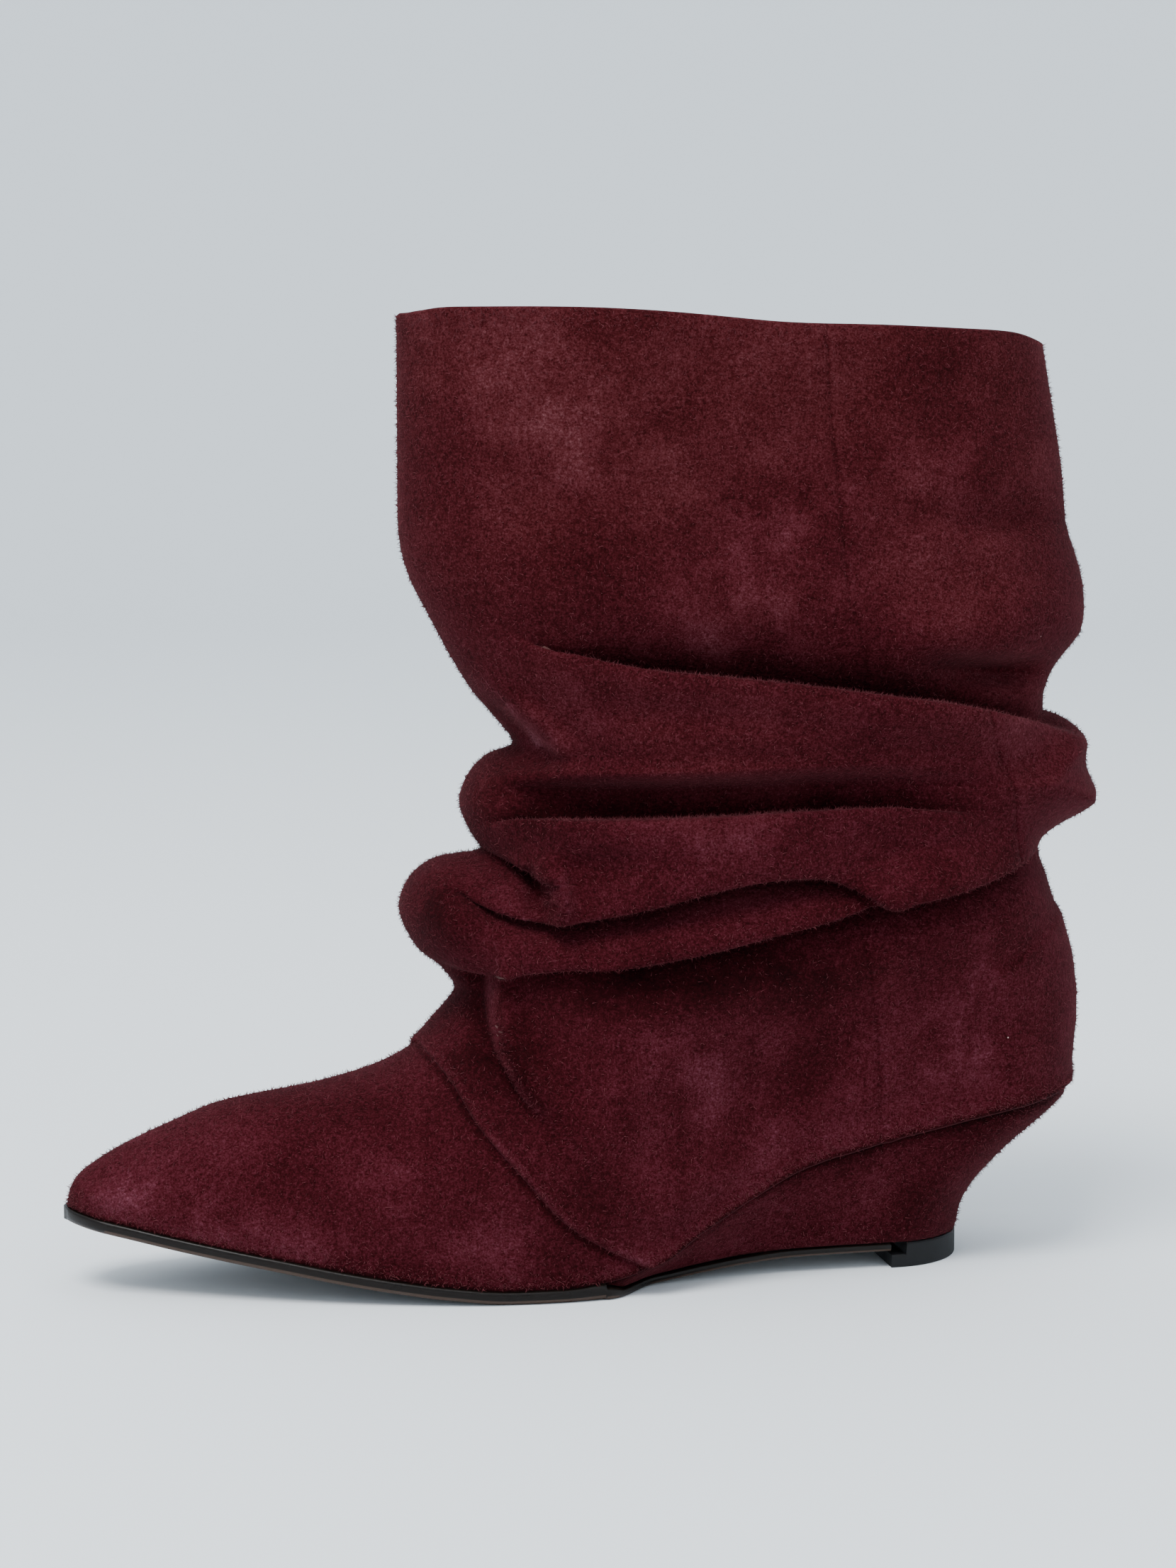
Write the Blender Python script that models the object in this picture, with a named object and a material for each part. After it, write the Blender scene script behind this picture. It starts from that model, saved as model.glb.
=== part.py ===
"""Slouch boot for the left foot: suede upper, covered low wedge, thin outsole and rubber top piece.

Metres, +Z up. The floor is z = 0, the toe points to -X, the outer side of the foot lies to -Y.
Every outline, section and fold is a row of a short table, held as shares of the named sizes.
"""
import bmesh
import bpy
import numpy as np

# Sizes of the last
LENGTH = 0.268
BALL_WIDTH = 0.076
HEEL_HEIGHT = 0.0435
INSTEP_HEIGHT = 0.055
TOE_SPRING = 0.018

# Sizes of the shaft
SHAFT_HEIGHT = 0.250
SHAFT_DEPTH = 0.170
SHAFT_WIDTH = 0.072
COLLAR_DROP = 0.006
FOLD_DEPTH = 0.011
FOLD_WIDTH = 0.014

# Thicknesses
WALL = 0.0018
PANEL_STEP = 0.0009
INSOLE_THICKNESS = 0.0022
SOLE_THICKNESS = 0.0035
WAIST_THICKNESS = 0.0020
WEDGE_EDGE = 0.0010
TOP_PIECE_HEIGHT = 0.0065

# Margins and running gaps
SOLE_MARGIN = 0.0008
WEDGE_INSET = 0.0005
GAP = 0.0003

# Places along the last from the toe, and stretches along it, as shares of LENGTH
ORIGIN_SHARE = 0.508
FLAT_FROM_SHARE = 0.41
FLAT_TO_SHARE = 0.515
WEDGE_START_SHARE = 0.50
BREAST_SHARE = 0.797
TOP_PIECE_END_SHARE = 0.882
SHAFT_AXIS_SHARE = 0.642
WAIST_DRAW_SHARE = 0.06
WAIST_THIN_SHARE = 0.05
WEDGE_NOSE_SHARE = 0.02

# Feather line. Columns: station; outer and inner half width, centre line, as shares of BALL_WIDTH
FEATHER = (
    (0.00, 0.112, 0.112, 0.045),
    (0.05, 0.180, 0.184, 0.040),
    (0.10, 0.244, 0.262, 0.033),
    (0.15, 0.302, 0.328, 0.026),
    (0.20, 0.352, 0.384, 0.019),
    (0.25, 0.395, 0.432, 0.013),
    (0.30, 0.431, 0.470, 0.008),
    (0.35, 0.461, 0.489, 0.004),
    (0.40, 0.481, 0.483, 0.001),
    (0.45, 0.488, 0.452, 0.000),
    (0.50, 0.478, 0.408, 0.000),
    (0.55, 0.455, 0.365, 0.000),
    (0.60, 0.422, 0.332, 0.000),
    (0.65, 0.391, 0.312, 0.000),
    (0.70, 0.368, 0.304, 0.000),
    (0.80, 0.358, 0.330, 0.000),
    (0.90, 0.352, 0.350, 0.000),
    (1.00, 0.345, 0.345, 0.000),
)
TOE_ROUND_SHARE = 0.036
HEEL_ROUND_SHARE = 0.105

# Underside of the outsole. Columns: station; share of TOE_SPRING; share of the waist's rise
UNDERSIDE = (
    (0.00, 1.000, 0.00),
    (0.05, 0.856, 0.00),
    (0.10, 0.706, 0.00),
    (0.15, 0.567, 0.00),
    (0.20, 0.433, 0.00),
    (0.25, 0.294, 0.00),
    (0.30, 0.172, 0.00),
    (0.35, 0.072, 0.00),
    (FLAT_FROM_SHARE, 0.000, 0.00),
    (FLAT_TO_SHARE, 0.000, 0.00),
    (0.55, 0.000, 0.12),
    (0.60, 0.000, 0.48),
    (0.65, 0.000, 0.79),
    (0.70, 0.000, 0.96),
    (BREAST_SHARE, 0.000, 1.00),
    (1.00, 0.000, 1.00),
)

# Rise of the last over the outsole. Columns: station; share of HEEL_HEIGHT
SHANK = (
    (0.00, 0.000),
    (0.46, 0.000),
    (0.50, 0.024),
    (0.55, 0.083),
    (0.60, 0.172),
    (0.65, 0.290),
    (0.70, 0.410),
    (0.75, 0.508),
    (0.80, 0.590),
    (0.85, 0.655),
    (0.90, 0.713),
    (0.95, 0.765),
    (1.00, 0.816),
)

# Hollow back and leaning sides of the wedge. Columns: share of its height; reach of the back; half width
WEDGE_FLUTE = (
    (0.00, 0.00, 0.78),
    (0.20, 0.07, 0.82),
    (0.36, 0.22, 0.86),
    (0.52, 0.41, 0.90),
    (0.71, 0.67, 0.94),
    (0.90, 0.93, 0.98),
    (1.00, 1.00, 1.00),
)

# Sections of the foot, from the feather line to the throat. Columns: front station; front height
# over the last's bed, as a share of INSTEP_HEIGHT; back station; back height, the same share
FOOT_SECTIONS = (
    (0.000, 0.000, 1.000, 0.000),
    (0.004, 0.110, 1.000, 0.070),
    (0.019, 0.190, 1.001, 0.130),
    (0.045, 0.305, 1.002, 0.200),
    (0.097, 0.467, 1.004, 0.300),
    (0.149, 0.600, 1.004, 0.410),
    (0.190, 0.672, 1.002, 0.500),
    (0.239, 0.755, 0.999, 0.600),
    (0.295, 0.872, 0.993, 0.710),
    (0.332, 0.985, 0.985, 0.830),
)

# Sections of the shaft, from the throat to the collar. Columns: front, from the shaft's axis, as a
# share of SHAFT_DEPTH; front height, as a share of SHAFT_HEIGHT; back and its height, the same way
SHAFT_SECTIONS = (
    (-0.447, 0.268, 0.530, 0.380),
    (-0.412, 0.300, 0.515, 0.408),
    (-0.435, 0.326, 0.503, 0.430),
    (-0.476, 0.350, 0.500, 0.444),
    (-0.500, 0.388, 0.518, 0.454),
    (-0.484, 0.418, 0.547, 0.464),
    (-0.440, 0.438, 0.574, 0.473),
    (-0.374, 0.455, 0.593, 0.484),
    (-0.396, 0.473, 0.594, 0.497),
    (-0.408, 0.496, 0.585, 0.512),
    (-0.394, 0.524, 0.576, 0.530),
    (-0.365, 0.544, 0.578, 0.546),
    (-0.324, 0.557, 0.568, 0.561),
    (-0.353, 0.584, 0.541, 0.574),
    (-0.388, 0.612, 0.508, 0.584),
    (-0.424, 0.652, 0.507, 0.600),
    (-0.455, 0.692, 0.518, 0.622),
    (-0.482, 0.728, 0.541, 0.644),
    (-0.496, 0.760, 0.565, 0.664),
    (-0.500, 0.792, 0.572, 0.688),
    (-0.500, 0.824, 0.570, 0.716),
    (-0.500, 0.852, 0.556, 0.750),
    (-0.500, 0.880, 0.541, 0.782),
    (-0.500, 0.912, 0.535, 0.828),
    (-0.500, 0.944, 0.526, 0.876),
    (-0.500, 0.972, 0.515, 0.928),
    (-0.500, 1.000, 0.500, 1.000),
)
# How far the upper's side rounds in from its front and back lines. Columns: section, counted from
# the feather line; front rounding and back rounding, as shares of SHAFT_DEPTH
ROUNDING = (
    (0, 0.045, 0.150),
    (2, 0.060, 0.155),
    (3, 0.100, 0.160),
    (4, 0.140, 0.165),
    (5, 0.180, 0.170),
    (7, 0.225, 0.190),
    (9, 0.270, 0.220),
    (13, 0.300, 0.260),
    (24, 0.340, 0.290),
    (36, 0.400, 0.360),
)
# Slack width of the shaft. Columns: height, as a share of SHAFT_HEIGHT; outer and inner side, as
# shares of SHAFT_WIDTH
SHAFT_WIDTHS = (
    (0.20, 0.470, 0.450),
    (0.32, 0.510, 0.490),
    (0.42, 0.530, 0.520),
    (0.55, 0.530, 0.520),
    (0.66, 0.500, 0.490),
    (0.80, 0.450, 0.450),
    (1.00, 0.415, 0.415),
)
# Heights over the bed, as shares of INSTEP_HEIGHT: where the upper has left the feather line, where
# its folds reach full depth, and where the foot's width starts and ends giving way to the shaft's
RIM_BLEND = 0.20
FOLD_BLEND = 0.25
SIDE_BLEND = (0.35, 1.30)
# Share of the shaft's half width within which folds and seam steps fade out at its front and back
END_FADE = 0.8
# Share of the shaft's height over which the back of the collar starts to drop
COLLAR_TURN = 0.8

# Folds. Columns: side (-1 outer, 1 inner); width above and below the crease, as shares of FOLD_WIDTH;
# overhang (+ the lip under the crease leans up, - the lip over it leans down), share of FOLD_WIDTH;
# then the crease's own line of (across, share of SHAFT_DEPTH from the shaft's axis; height, share of
# SHAFT_HEIGHT; depth, share of FOLD_DEPTH)
FOLDS = (
    (-1, 1.15, 0.45, 0.16, (
        (-0.41, 0.736, 0.10), (-0.31, 0.672, 0.45), (-0.15, 0.640, 0.75), (0.03, 0.628, 0.85),
        (0.19, 0.616, 0.95), (0.32, 0.600, 0.95), (0.43, 0.588, 0.90), (0.52, 0.584, 0.60))),
    (-1, 0.45, 0.48, 0.00, (
        (-0.35, 0.556, 0.35), (-0.29, 0.518, 0.80), (-0.15, 0.511, 1.05), (-0.05, 0.510, 1.00),
        (0.10, 0.508, 0.80), (0.24, 0.506, 0.45), (0.36, 0.504, 0.00))),
    (-1, 0.45, 0.80, -0.12, (
        (-0.42, 0.452, 0.25), (-0.36, 0.424, 0.60), (-0.30, 0.394, 0.90), (-0.21, 0.392, 1.00),
        (-0.14, 0.398, 1.00), (-0.04, 0.416, 0.90), (0.04, 0.428, 0.75), (0.11, 0.430, 0.45),
        (0.19, 0.424, 0.00))),
    (-1, 0.45, 0.80, -0.16, (
        (-0.46, 0.318, 0.30), (-0.38, 0.340, 0.60), (-0.25, 0.336, 0.70), (-0.18, 0.340, 0.80),
        (0.00, 0.360, 0.90), (0.14, 0.384, 0.95), (0.24, 0.398, 0.95), (0.36, 0.424, 0.95),
        (0.43, 0.440, 0.90), (0.52, 0.446, 0.60))),
    (-1, 0.60, 0.60, 0.00, (
        (-0.46, 0.300, 0.10), (-0.39, 0.285, 0.28), (-0.37, 0.245, 0.25), (-0.31, 0.190, 0.00))),
    (1, 0.45, 0.85, -0.16, (
        (-0.40, 0.452, 0.25), (-0.34, 0.400, 0.60), (-0.28, 0.352, 0.80), (-0.16, 0.342, 0.85),
        (0.03, 0.348, 0.95), (0.26, 0.368, 1.00), (0.40, 0.408, 1.00), (0.52, 0.444, 0.70))),
    (1, 0.45, 0.90, -0.10, (
        (-0.36, 0.560, 0.25), (-0.26, 0.522, 0.75), (-0.18, 0.490, 1.00), (0.03, 0.444, 0.85),
        (0.17, 0.412, 0.30), (0.25, 0.396, 0.00))),
    (1, 0.80, 0.45, 0.06, (
        (0.52, 0.584, 0.70), (0.42, 0.590, 0.65), (0.28, 0.562, 0.45), (0.12, 0.532, 0.25),
        (0.00, 0.512, 0.00))),
    (1, 0.60, 0.60, 0.00, (
        (-0.46, 0.290, 0.10), (-0.41, 0.250, 0.30), (-0.36, 0.200, 0.28), (-0.30, 0.136, 0.00))),
)
# Roll of slack beside each crease: its place and reach in widths of the steep side, and its share
# of the crease's depth; then the place and reach of the lip that the overhang moves
ROLL_AT, ROLL_REACH, ROLL_SHARE = 2.3, 1.7, 0.30
LIP_AT, LIP_REACH = 1.5, 1.5

# Line of the seam where the shaft's panels stand over the vamp. Columns: side; across; height
VAMP_SEAM = (
    (-1, ((-0.62, 0.300), (-0.506, 0.262), (-0.447, 0.222), (-0.412, 0.180), (-0.376, 0.150),
          (-0.335, 0.118), (-0.294, 0.086), (-0.247, 0.062), (-0.206, 0.046), (-0.100, 0.010))),
    (1, ((-0.62, 0.300), (-0.506, 0.262), (-0.430, 0.170), (-0.370, 0.108), (-0.318, 0.066),
         (-0.235, 0.036), (-0.130, 0.000))),
)
# Stretch on each side of the vamp seam over which the wall steps up, as a share of FOLD_WIDTH
STEP_RAMP = 0.12

# Puffs of slack leather. Columns: side; across; height; reach along; reach up; share of FOLD_DEPTH
PUFFS = (
    (-1, -0.09, 0.105, 0.110, 0.050, 0.24),
    (-1, 0.20, 0.250, 0.200, 0.090, 0.16),
    (-1, 0.10, 0.565, 0.280, 0.030, 0.30),
    (-1, -0.08, 0.462, 0.200, 0.028, 0.28),
    (1, 0.20, 0.440, 0.260, 0.040, 0.30),
    (1, -0.10, 0.400, 0.150, 0.030, 0.20),
)

# Mesh: points along each side of a ring, sections along the waist and round the top piece, and rings
# added between two sections of the upper
SIDE_STEPS = 23
WAIST_STEPS = 11
TOP_PIECE_STEPS = 10
EXTRA_RINGS = (10.5, 11.5, 12.5, 13.5, 14.5, 15.5, 23.5, 24.5, 25.5, 26.5)


def through(places, values, at):
    """A smooth curve through the given values that never swings past them."""
    places = np.asarray(places, float)
    values = np.asarray(values, float)
    at = np.asarray(at, float)
    step = np.diff(places)
    slope = np.diff(values) / step
    lean = np.zeros(len(values))
    lean[0], lean[-1] = slope[0], slope[-1]
    before, after = slope[:-1], slope[1:]
    same = before * after > 0
    lean[1:-1][same] = 2 * (before * after)[same] / (before + after)[same]
    k = np.clip(np.searchsorted(places, at, side="right") - 1, 0, len(step) - 1)
    t = np.clip((at - places[k]) / step[k], 0, 1)
    rise = values[k + 1] - values[k]
    ease = t * t * (3 - 2 * t)
    start = t * (1 - t) ** 2 * step[k] * lean[k]
    end = t * t * (t - 1) * step[k] * lean[k + 1]
    return values[k] + ease * rise + start + end


def column(table, index, at):
    """Reads one column of a table at any place along its first column."""
    return through([row[0] for row in table], [row[index] for row in table], at)


def ease(share):
    """Smooth step from 0 to 1."""
    t = np.clip(share, 0, 1)
    return t * t * (3 - 2 * t)


def roundness(share):
    """Quarter of an ellipse: 0 at an end, 1 from a whole rounding length on."""
    return np.sqrt(np.clip(1 - (1 - np.clip(share, 0, 1)) ** 2, 0, 1))


def end_spaced(first, last, steps):
    """Places between two stations, closer together towards both ends."""
    return first + (last - first) * (1 - np.cos(np.pi * np.arange(steps + 1) / steps)) / 2


def x_at(station):
    return (np.asarray(station, float) - ORIGIN_SHARE) * LENGTH


def station_at(x):
    return np.asarray(x, float) / LENGTH + ORIGIN_SHARE


def underside(x):
    """Height of the outsole's lower face."""
    station = station_at(x)
    waist_rise = TOP_PIECE_HEIGHT - WAIST_THICKNESS
    return column(UNDERSIDE, 1, station) * TOE_SPRING + column(UNDERSIDE, 2, station) * waist_rise


def bed(x):
    """Height of the last's bottom, on which the upper's rim and the insole lie."""
    return underside(x) + SOLE_THICKNESS + GAP + column(SHANK, 1, station_at(x)) * HEEL_HEIGHT


def feather(x, side):
    """Signed half width of the last's bottom on one side."""
    station = station_at(x)
    width = column(FEATHER, 1 if side < 0 else 2, station)
    tip = roundness(station / TOE_ROUND_SHARE) * roundness((1 - station) / HEEL_ROUND_SHARE)
    return (side * width * tip + column(FEATHER, 3, station)) * BALL_WIDTH


def outline(x, side, margin):
    """The last's bottom outline moved out (or in, below zero) by an even margin, on one side."""
    turn = np.linspace(-1, 1, 41)
    near = x + abs(margin) * turn
    centre = column(FEATHER, 3, station_at(near)) * BALL_WIDTH
    reach = np.abs(feather(near, side) - centre)
    swing = abs(margin) * np.sqrt(1 - turn ** 2)
    if margin < 0:
        half = np.min(reach - swing)
    else:
        station = station_at(near)
        half = np.max(np.where((station >= 0) & (station <= 1), reach + swing, 0))
    return float(centre[20] + side * max(half, 0))


def nearest(line, x, z):
    """Distance of points to a line of (x, z) points, its sign (+ over the line) and the place along it."""
    line = np.asarray(line, float)
    start, run = line[:-1], np.diff(line, axis=0)
    size = np.maximum((run ** 2).sum(1), 1e-18)
    dx, dz = x[:, None] - start[:, 0], z[:, None] - start[:, 1]
    share = np.clip((dx * run[:, 0] + dz * run[:, 1]) / size, 0, 1)
    away = np.hypot(dx - share * run[:, 0], dz - share * run[:, 1])
    k = away.argmin(axis=1)
    row = np.arange(len(x))
    over = np.sign(run[k, 0] * dz[row, k] - run[k, 1] * dx[row, k])
    return away[row, k], np.where(over == 0, 1, over), k + share[row, k]


def shaft_x(across):
    return x_at(SHAFT_AXIS_SHARE) + np.asarray(across, float) * SHAFT_DEPTH


def section_lines():
    """Front and back point of every section, from the feather line to the collar."""
    rows = []
    for front, front_height, back, back_height in FOOT_SECTIONS:
        front_x, back_x = x_at(front), x_at(back)
        rows.append((front_x, bed(front_x) + front_height * INSTEP_HEIGHT,
                     back_x, bed(back_x) + back_height * INSTEP_HEIGHT))
    for front, front_height, back, back_height in SHAFT_SECTIONS:
        drop = COLLAR_DROP * ease((back_height - COLLAR_TURN) / (1 - COLLAR_TURN))
        rows.append((shaft_x(front), front_height * SHAFT_HEIGHT,
                     shaft_x(back), back_height * SHAFT_HEIGHT - drop))
    return np.array(rows)


SECTIONS = section_lines()
SECTION_COUNT = len(SECTIONS)
THROAT = len(FOOT_SECTIONS) - 1


def section(at):
    """Front and back point of a section, at any count from the feather line."""
    count = np.arange(SECTION_COUNT)
    return [through(count, SECTIONS[:, k], at) for k in range(4)]


def side_grid(rings, steps):
    """Side view of the upper's rings: x and z from the front line to the back line."""
    front_x, front_z, back_x, back_z = (value[:, None] for value in section(rings))
    share = end_spaced(0.0, 1.0, steps)[None, :]
    x = front_x + (back_x - front_x) * share
    straight = bed(front_x) + (bed(back_x) - bed(front_x)) * share
    follow = 1 - ease((rings[:, None] - THROAT) / 5)
    z = front_z + (back_z - front_z) * share + follow * (bed(x) - straight)
    return x, z


def half_width(x, z, side):
    """Half width of the upper without its folds, from its side outline and the last."""
    fine = np.linspace(0, SECTION_COUNT - 1, 6 * (SECTION_COUNT - 1) + 1)
    front_x, front_z, back_x, back_z = section(fine)
    place = np.linspace(0, SECTION_COUNT - 1, len(fine))
    front_gap, _, front_at = nearest(np.c_[front_x, front_z], x, z)
    back_gap, _, back_at = nearest(np.c_[back_x, back_z], x, z)
    front_round = column(ROUNDING, 1, np.interp(front_at, np.arange(len(fine)), place)) * SHAFT_DEPTH
    back_round = column(ROUNDING, 2, np.interp(back_at, np.arange(len(fine)), place)) * SHAFT_DEPTH
    station = station_at(x)
    which = 1 if side < 0 else 2
    foot = column(FEATHER, which, station) * BALL_WIDTH
    shaft = column(SHAFT_WIDTHS, which, z / SHAFT_HEIGHT) * SHAFT_WIDTH
    low, high = SIDE_BLEND
    over_bed = (z - bed(x)) / INSTEP_HEIGHT
    width = foot + (shaft - foot) * ease((over_bed - low) / (high - low))
    return width * roundness(front_gap / front_round) * roundness(back_gap / back_round)


def fold_moves(x, z, side):
    """How far the folds and puffs push the side out, and lift it, at points of the side view."""
    out, lift = np.zeros_like(x), np.zeros_like(x)
    for fold_side, above, below, overhang, crease in FOLDS:
        if fold_side != side:
            continue
        nodes = np.array(crease)
        if nodes[0, 0] > nodes[-1, 0]:
            nodes = nodes[::-1]
        fine = np.linspace(0, len(nodes) - 1, 8 * (len(nodes) - 1) + 1)
        count = np.arange(len(nodes))
        line = np.c_[shaft_x(np.interp(fine, count, nodes[:, 0])),
                     through(count, nodes[:, 1], fine) * SHAFT_HEIGHT]
        away, over, at = nearest(line, x, z)
        depth = np.interp(at / 8, count, nodes[:, 2]) * FOLD_DEPTH
        offset = away * over
        width = np.where(offset > 0, above, below) * FOLD_WIDTH
        out -= depth * np.exp(-(offset / width) ** 2)
        steep = min(above, below) * FOLD_WIDTH
        direction = 1 if above <= below else -1
        roll = np.exp(-((offset * direction / steep - ROLL_AT) / ROLL_REACH) ** 2)
        out += ROLL_SHARE * depth * roll
        lip = np.exp(-((offset * direction / steep - LIP_AT) / LIP_REACH) ** 2)
        lift += overhang * FOLD_WIDTH * depth / FOLD_DEPTH * lip
    for puff_side, across, height, along, up, share in PUFFS:
        if puff_side == side:
            reach = ((x - shaft_x(across)) / (along * SHAFT_DEPTH)) ** 2
            reach = reach + ((z / SHAFT_HEIGHT - height) / up) ** 2
            out += share * FOLD_DEPTH * np.exp(-reach)
    return out, lift


def panel_step(x, z, side):
    """How far the shaft's panels stand over the vamp, on one side."""
    line = [points for seam_side, points in VAMP_SEAM if seam_side == side][0]
    line = [(float(shaft_x(across)), height * SHAFT_HEIGHT) for across, height in line]
    away, over, _ = nearest(line, x, z)
    return PANEL_STEP * ease(0.5 + away * over / (2 * STEP_RAMP * FOLD_WIDTH))


def upper_side(grid_x, grid_z, side):
    """The outer face of one side of the upper, as a grid of points."""
    x, z = grid_x.ravel(), grid_z.ravel()
    centre = column(FEATHER, 3, station_at(x)) * BALL_WIDTH
    above_rim = ease((z - bed(x)) / (RIM_BLEND * INSTEP_HEIGHT))
    rim = np.abs(feather(x, side) - centre)
    width = rim + (half_width(x, z, side) - rim) * above_rim
    reach = width / np.maximum(column(SHAFT_WIDTHS, 1, z / SHAFT_HEIGHT) * SHAFT_WIDTH, 1e-6)
    near_end = ease(reach / END_FADE)
    out, lift = fold_moves(x, z, side)
    over_bed = ease((z - bed(x)) / (FOLD_BLEND * INSTEP_HEIGHT))
    width = np.maximum(width + near_end * over_bed * out, 0) + near_end * panel_step(x, z, side)
    y = centre + side * width
    return np.stack([x, y, z + near_end * over_bed * lift], axis=1).reshape(*grid_x.shape, 3)


def upper_rings(rings, steps):
    """Closed rings of the upper's outer face: down its outer side and back up its inner side."""
    grid_x, grid_z = side_grid(rings, steps)
    outer = upper_side(grid_x, grid_z, -1)
    inner = upper_side(grid_x, grid_z, 1)
    return np.concatenate([outer, inner[:, -2:0:-1]], axis=1)


def ring_normals(grid):
    """Outward normals of closed rings, level at the rim and at the collar."""
    around = np.roll(grid, -1, axis=1) - np.roll(grid, 1, axis=1)
    up = np.gradient(grid, axis=0)
    normal = np.cross(around, up)
    normal /= np.linalg.norm(normal, axis=2, keepdims=True)
    normal = normal + 0.5 * (np.roll(normal, 1, axis=1) + np.roll(normal, -1, axis=1))
    normal[1:-1] += 0.25 * (normal[2:] + normal[:-2])
    normal[0, :, 2] = 0
    normal[-1, :, 2] = 0
    return normal / np.linalg.norm(normal, axis=2, keepdims=True)


def new_material(name, color, roughness):
    material = bpy.data.materials.new(name)
    material.use_nodes = True
    shader = material.node_tree.nodes["Principled BSDF"]
    shader.inputs["Base Color"].default_value = (*color, 1)
    shader.inputs["Roughness"].default_value = roughness
    shader.inputs["Metallic"].default_value = 0
    return material


def add_object(name, points, faces, material, smooth_angle=0.7):
    """One closed body from points and faces, with its faces turned out."""
    mesh = bpy.data.meshes.new(name)
    mesh.from_pydata([tuple(point) for point in points], [], faces)
    work = bmesh.new()
    work.from_mesh(mesh)
    bmesh.ops.remove_doubles(work, verts=work.verts, dist=1e-6)
    bmesh.ops.triangulate(work, faces=work.faces)
    bmesh.ops.recalc_face_normals(work, faces=work.faces)
    work.to_mesh(mesh)
    work.free()
    mesh.materials.append(material)
    mesh.shade_smooth()
    mesh.set_sharp_from_angle(angle=smooth_angle)
    made = bpy.data.objects.new(name, mesh)
    bpy.context.collection.objects.link(made)
    return made


def loft(name, sections, material):
    """A solid through closed sections with as many points each; flat ends are capped."""
    count = len(sections[0])
    points = [point for ring in sections for point in ring]
    faces = []
    for i in range(len(sections) - 1):
        for j in range(count):
            k = (j + 1) % count
            faces.append((i * count + j, i * count + k, (i + 1) * count + k, (i + 1) * count + j))
    for i in (0, len(sections) - 1):
        across = [point[1] for point in sections[i]]
        if max(across) - min(across) > 1e-6:
            faces.append(tuple(range(i * count, (i + 1) * count)))
    return add_object(name, points, faces, material)


RIM_STATIONS = [float(s) for s in end_spaced(0.0, 1.0, SIDE_STEPS)]


def make_upper(material):
    rings = np.array(sorted([*range(SECTION_COUNT), *EXTRA_RINGS]), float)
    outer = upper_rings(rings, SIDE_STEPS)
    inner = outer - WALL * ring_normals(outer)
    count = outer.shape[1]
    last = len(rings) - 1
    shift = outer.shape[0] * count
    faces = []
    for j in range(count):
        k = (j + 1) % count
        for i in range(last):
            a, b, c, d = i * count + j, i * count + k, (i + 1) * count + k, (i + 1) * count + j
            faces.append((a, b, c, d))
            faces.append((d + shift, c + shift, b + shift, a + shift))
        faces.append((j + shift, k + shift, k, j))
        a, b = last * count + j, last * count + k
        faces.append((a, b, b + shift, a + shift))
    points = np.concatenate([outer.reshape(-1, 3), inner.reshape(-1, 3)])
    return add_object("upper", points, faces, material, smooth_angle=1.2)


def sole_section(x, drawn_in, top):
    """Outsole across one station: its edge stands proud of the upper, and the waist draws in."""
    edges = []
    for side in (-1, 1):
        wide = outline(x, side, SOLE_MARGIN)
        narrow = outline(x, side, -WEDGE_INSET) * WEDGE_FLUTE[0][2]
        edges.append(wide + (narrow - wide) * drawn_in)
    low = float(underside(x))
    return [(x, edges[0], low), (x, edges[0], top), (x, edges[1], top), (x, edges[1], low)]


def make_outsole(material):
    """Full thickness to the wedge's front edge, then a thin waist that runs under it to the breast."""
    front = [-SOLE_MARGIN / LENGTH, FLAT_FROM_SHARE, *end_spaced(0.0, 1.0, 2 * SIDE_STEPS)]
    front = sorted(s for s in front if s < WEDGE_START_SHARE - SOLE_THICKNESS / LENGTH)
    sections = [sole_section(float(x_at(s)), 0, float(bed(x_at(s))) - GAP) for s in front]
    edge_x = float(x_at(WEDGE_START_SHARE))
    sections.append(sole_section(edge_x - GAP, 0.0, float(bed(edge_x - GAP)) - GAP))
    sections.append(sole_section(edge_x - GAP / 2, 0.0, wedge_low(edge_x) - GAP))
    for station in np.linspace(FLAT_TO_SHARE, BREAST_SHARE, WAIST_STEPS + 1):
        x = float(x_at(station))
        sections.append(sole_section(x, float(waist_share(station)), wedge_low(x) - GAP))
    return loft("outsole", sections, material)


def waist_share(station):
    """How far the outsole has drawn in from the forepart's outline to the wedge's foot."""
    return ease((station - WEDGE_START_SHARE) / WAIST_DRAW_SHARE)


def wedge_low(x):
    """Height of the wedge's lower face."""
    thin = underside(x) + WAIST_THICKNESS + GAP
    start = bed(x) - GAP - WEDGE_EDGE
    share = ease((station_at(x) - WEDGE_START_SHARE) / WAIST_THIN_SHARE)
    low = start + (thin - start) * share
    return float(np.minimum(low, start))


def wedge_point(share, height, side):
    """A point of the wedge's side, by its share of the length and of the height."""
    front_x = float(x_at(WEDGE_START_SHARE))
    full, foot = float(x_at(1)) - WEDGE_INSET, float(x_at(TOP_PIECE_END_SHARE))
    back_x = foot + (full - foot) * float(column(WEDGE_FLUTE, 1, height))
    x = front_x + (back_x - front_x) * share
    x_top = front_x + (full - front_x) * share
    narrow = float(column(WEDGE_FLUTE, 2, height))
    lean = 1 - (1 - narrow) * float(waist_share(station_at(x)))
    y = outline(x_top, side, -WEDGE_INSET) * lean
    low, top = wedge_low(min(x, float(x_at(BREAST_SHARE)))), float(bed(x)) - GAP
    return (x, y, low + (top - low) * height)


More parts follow.
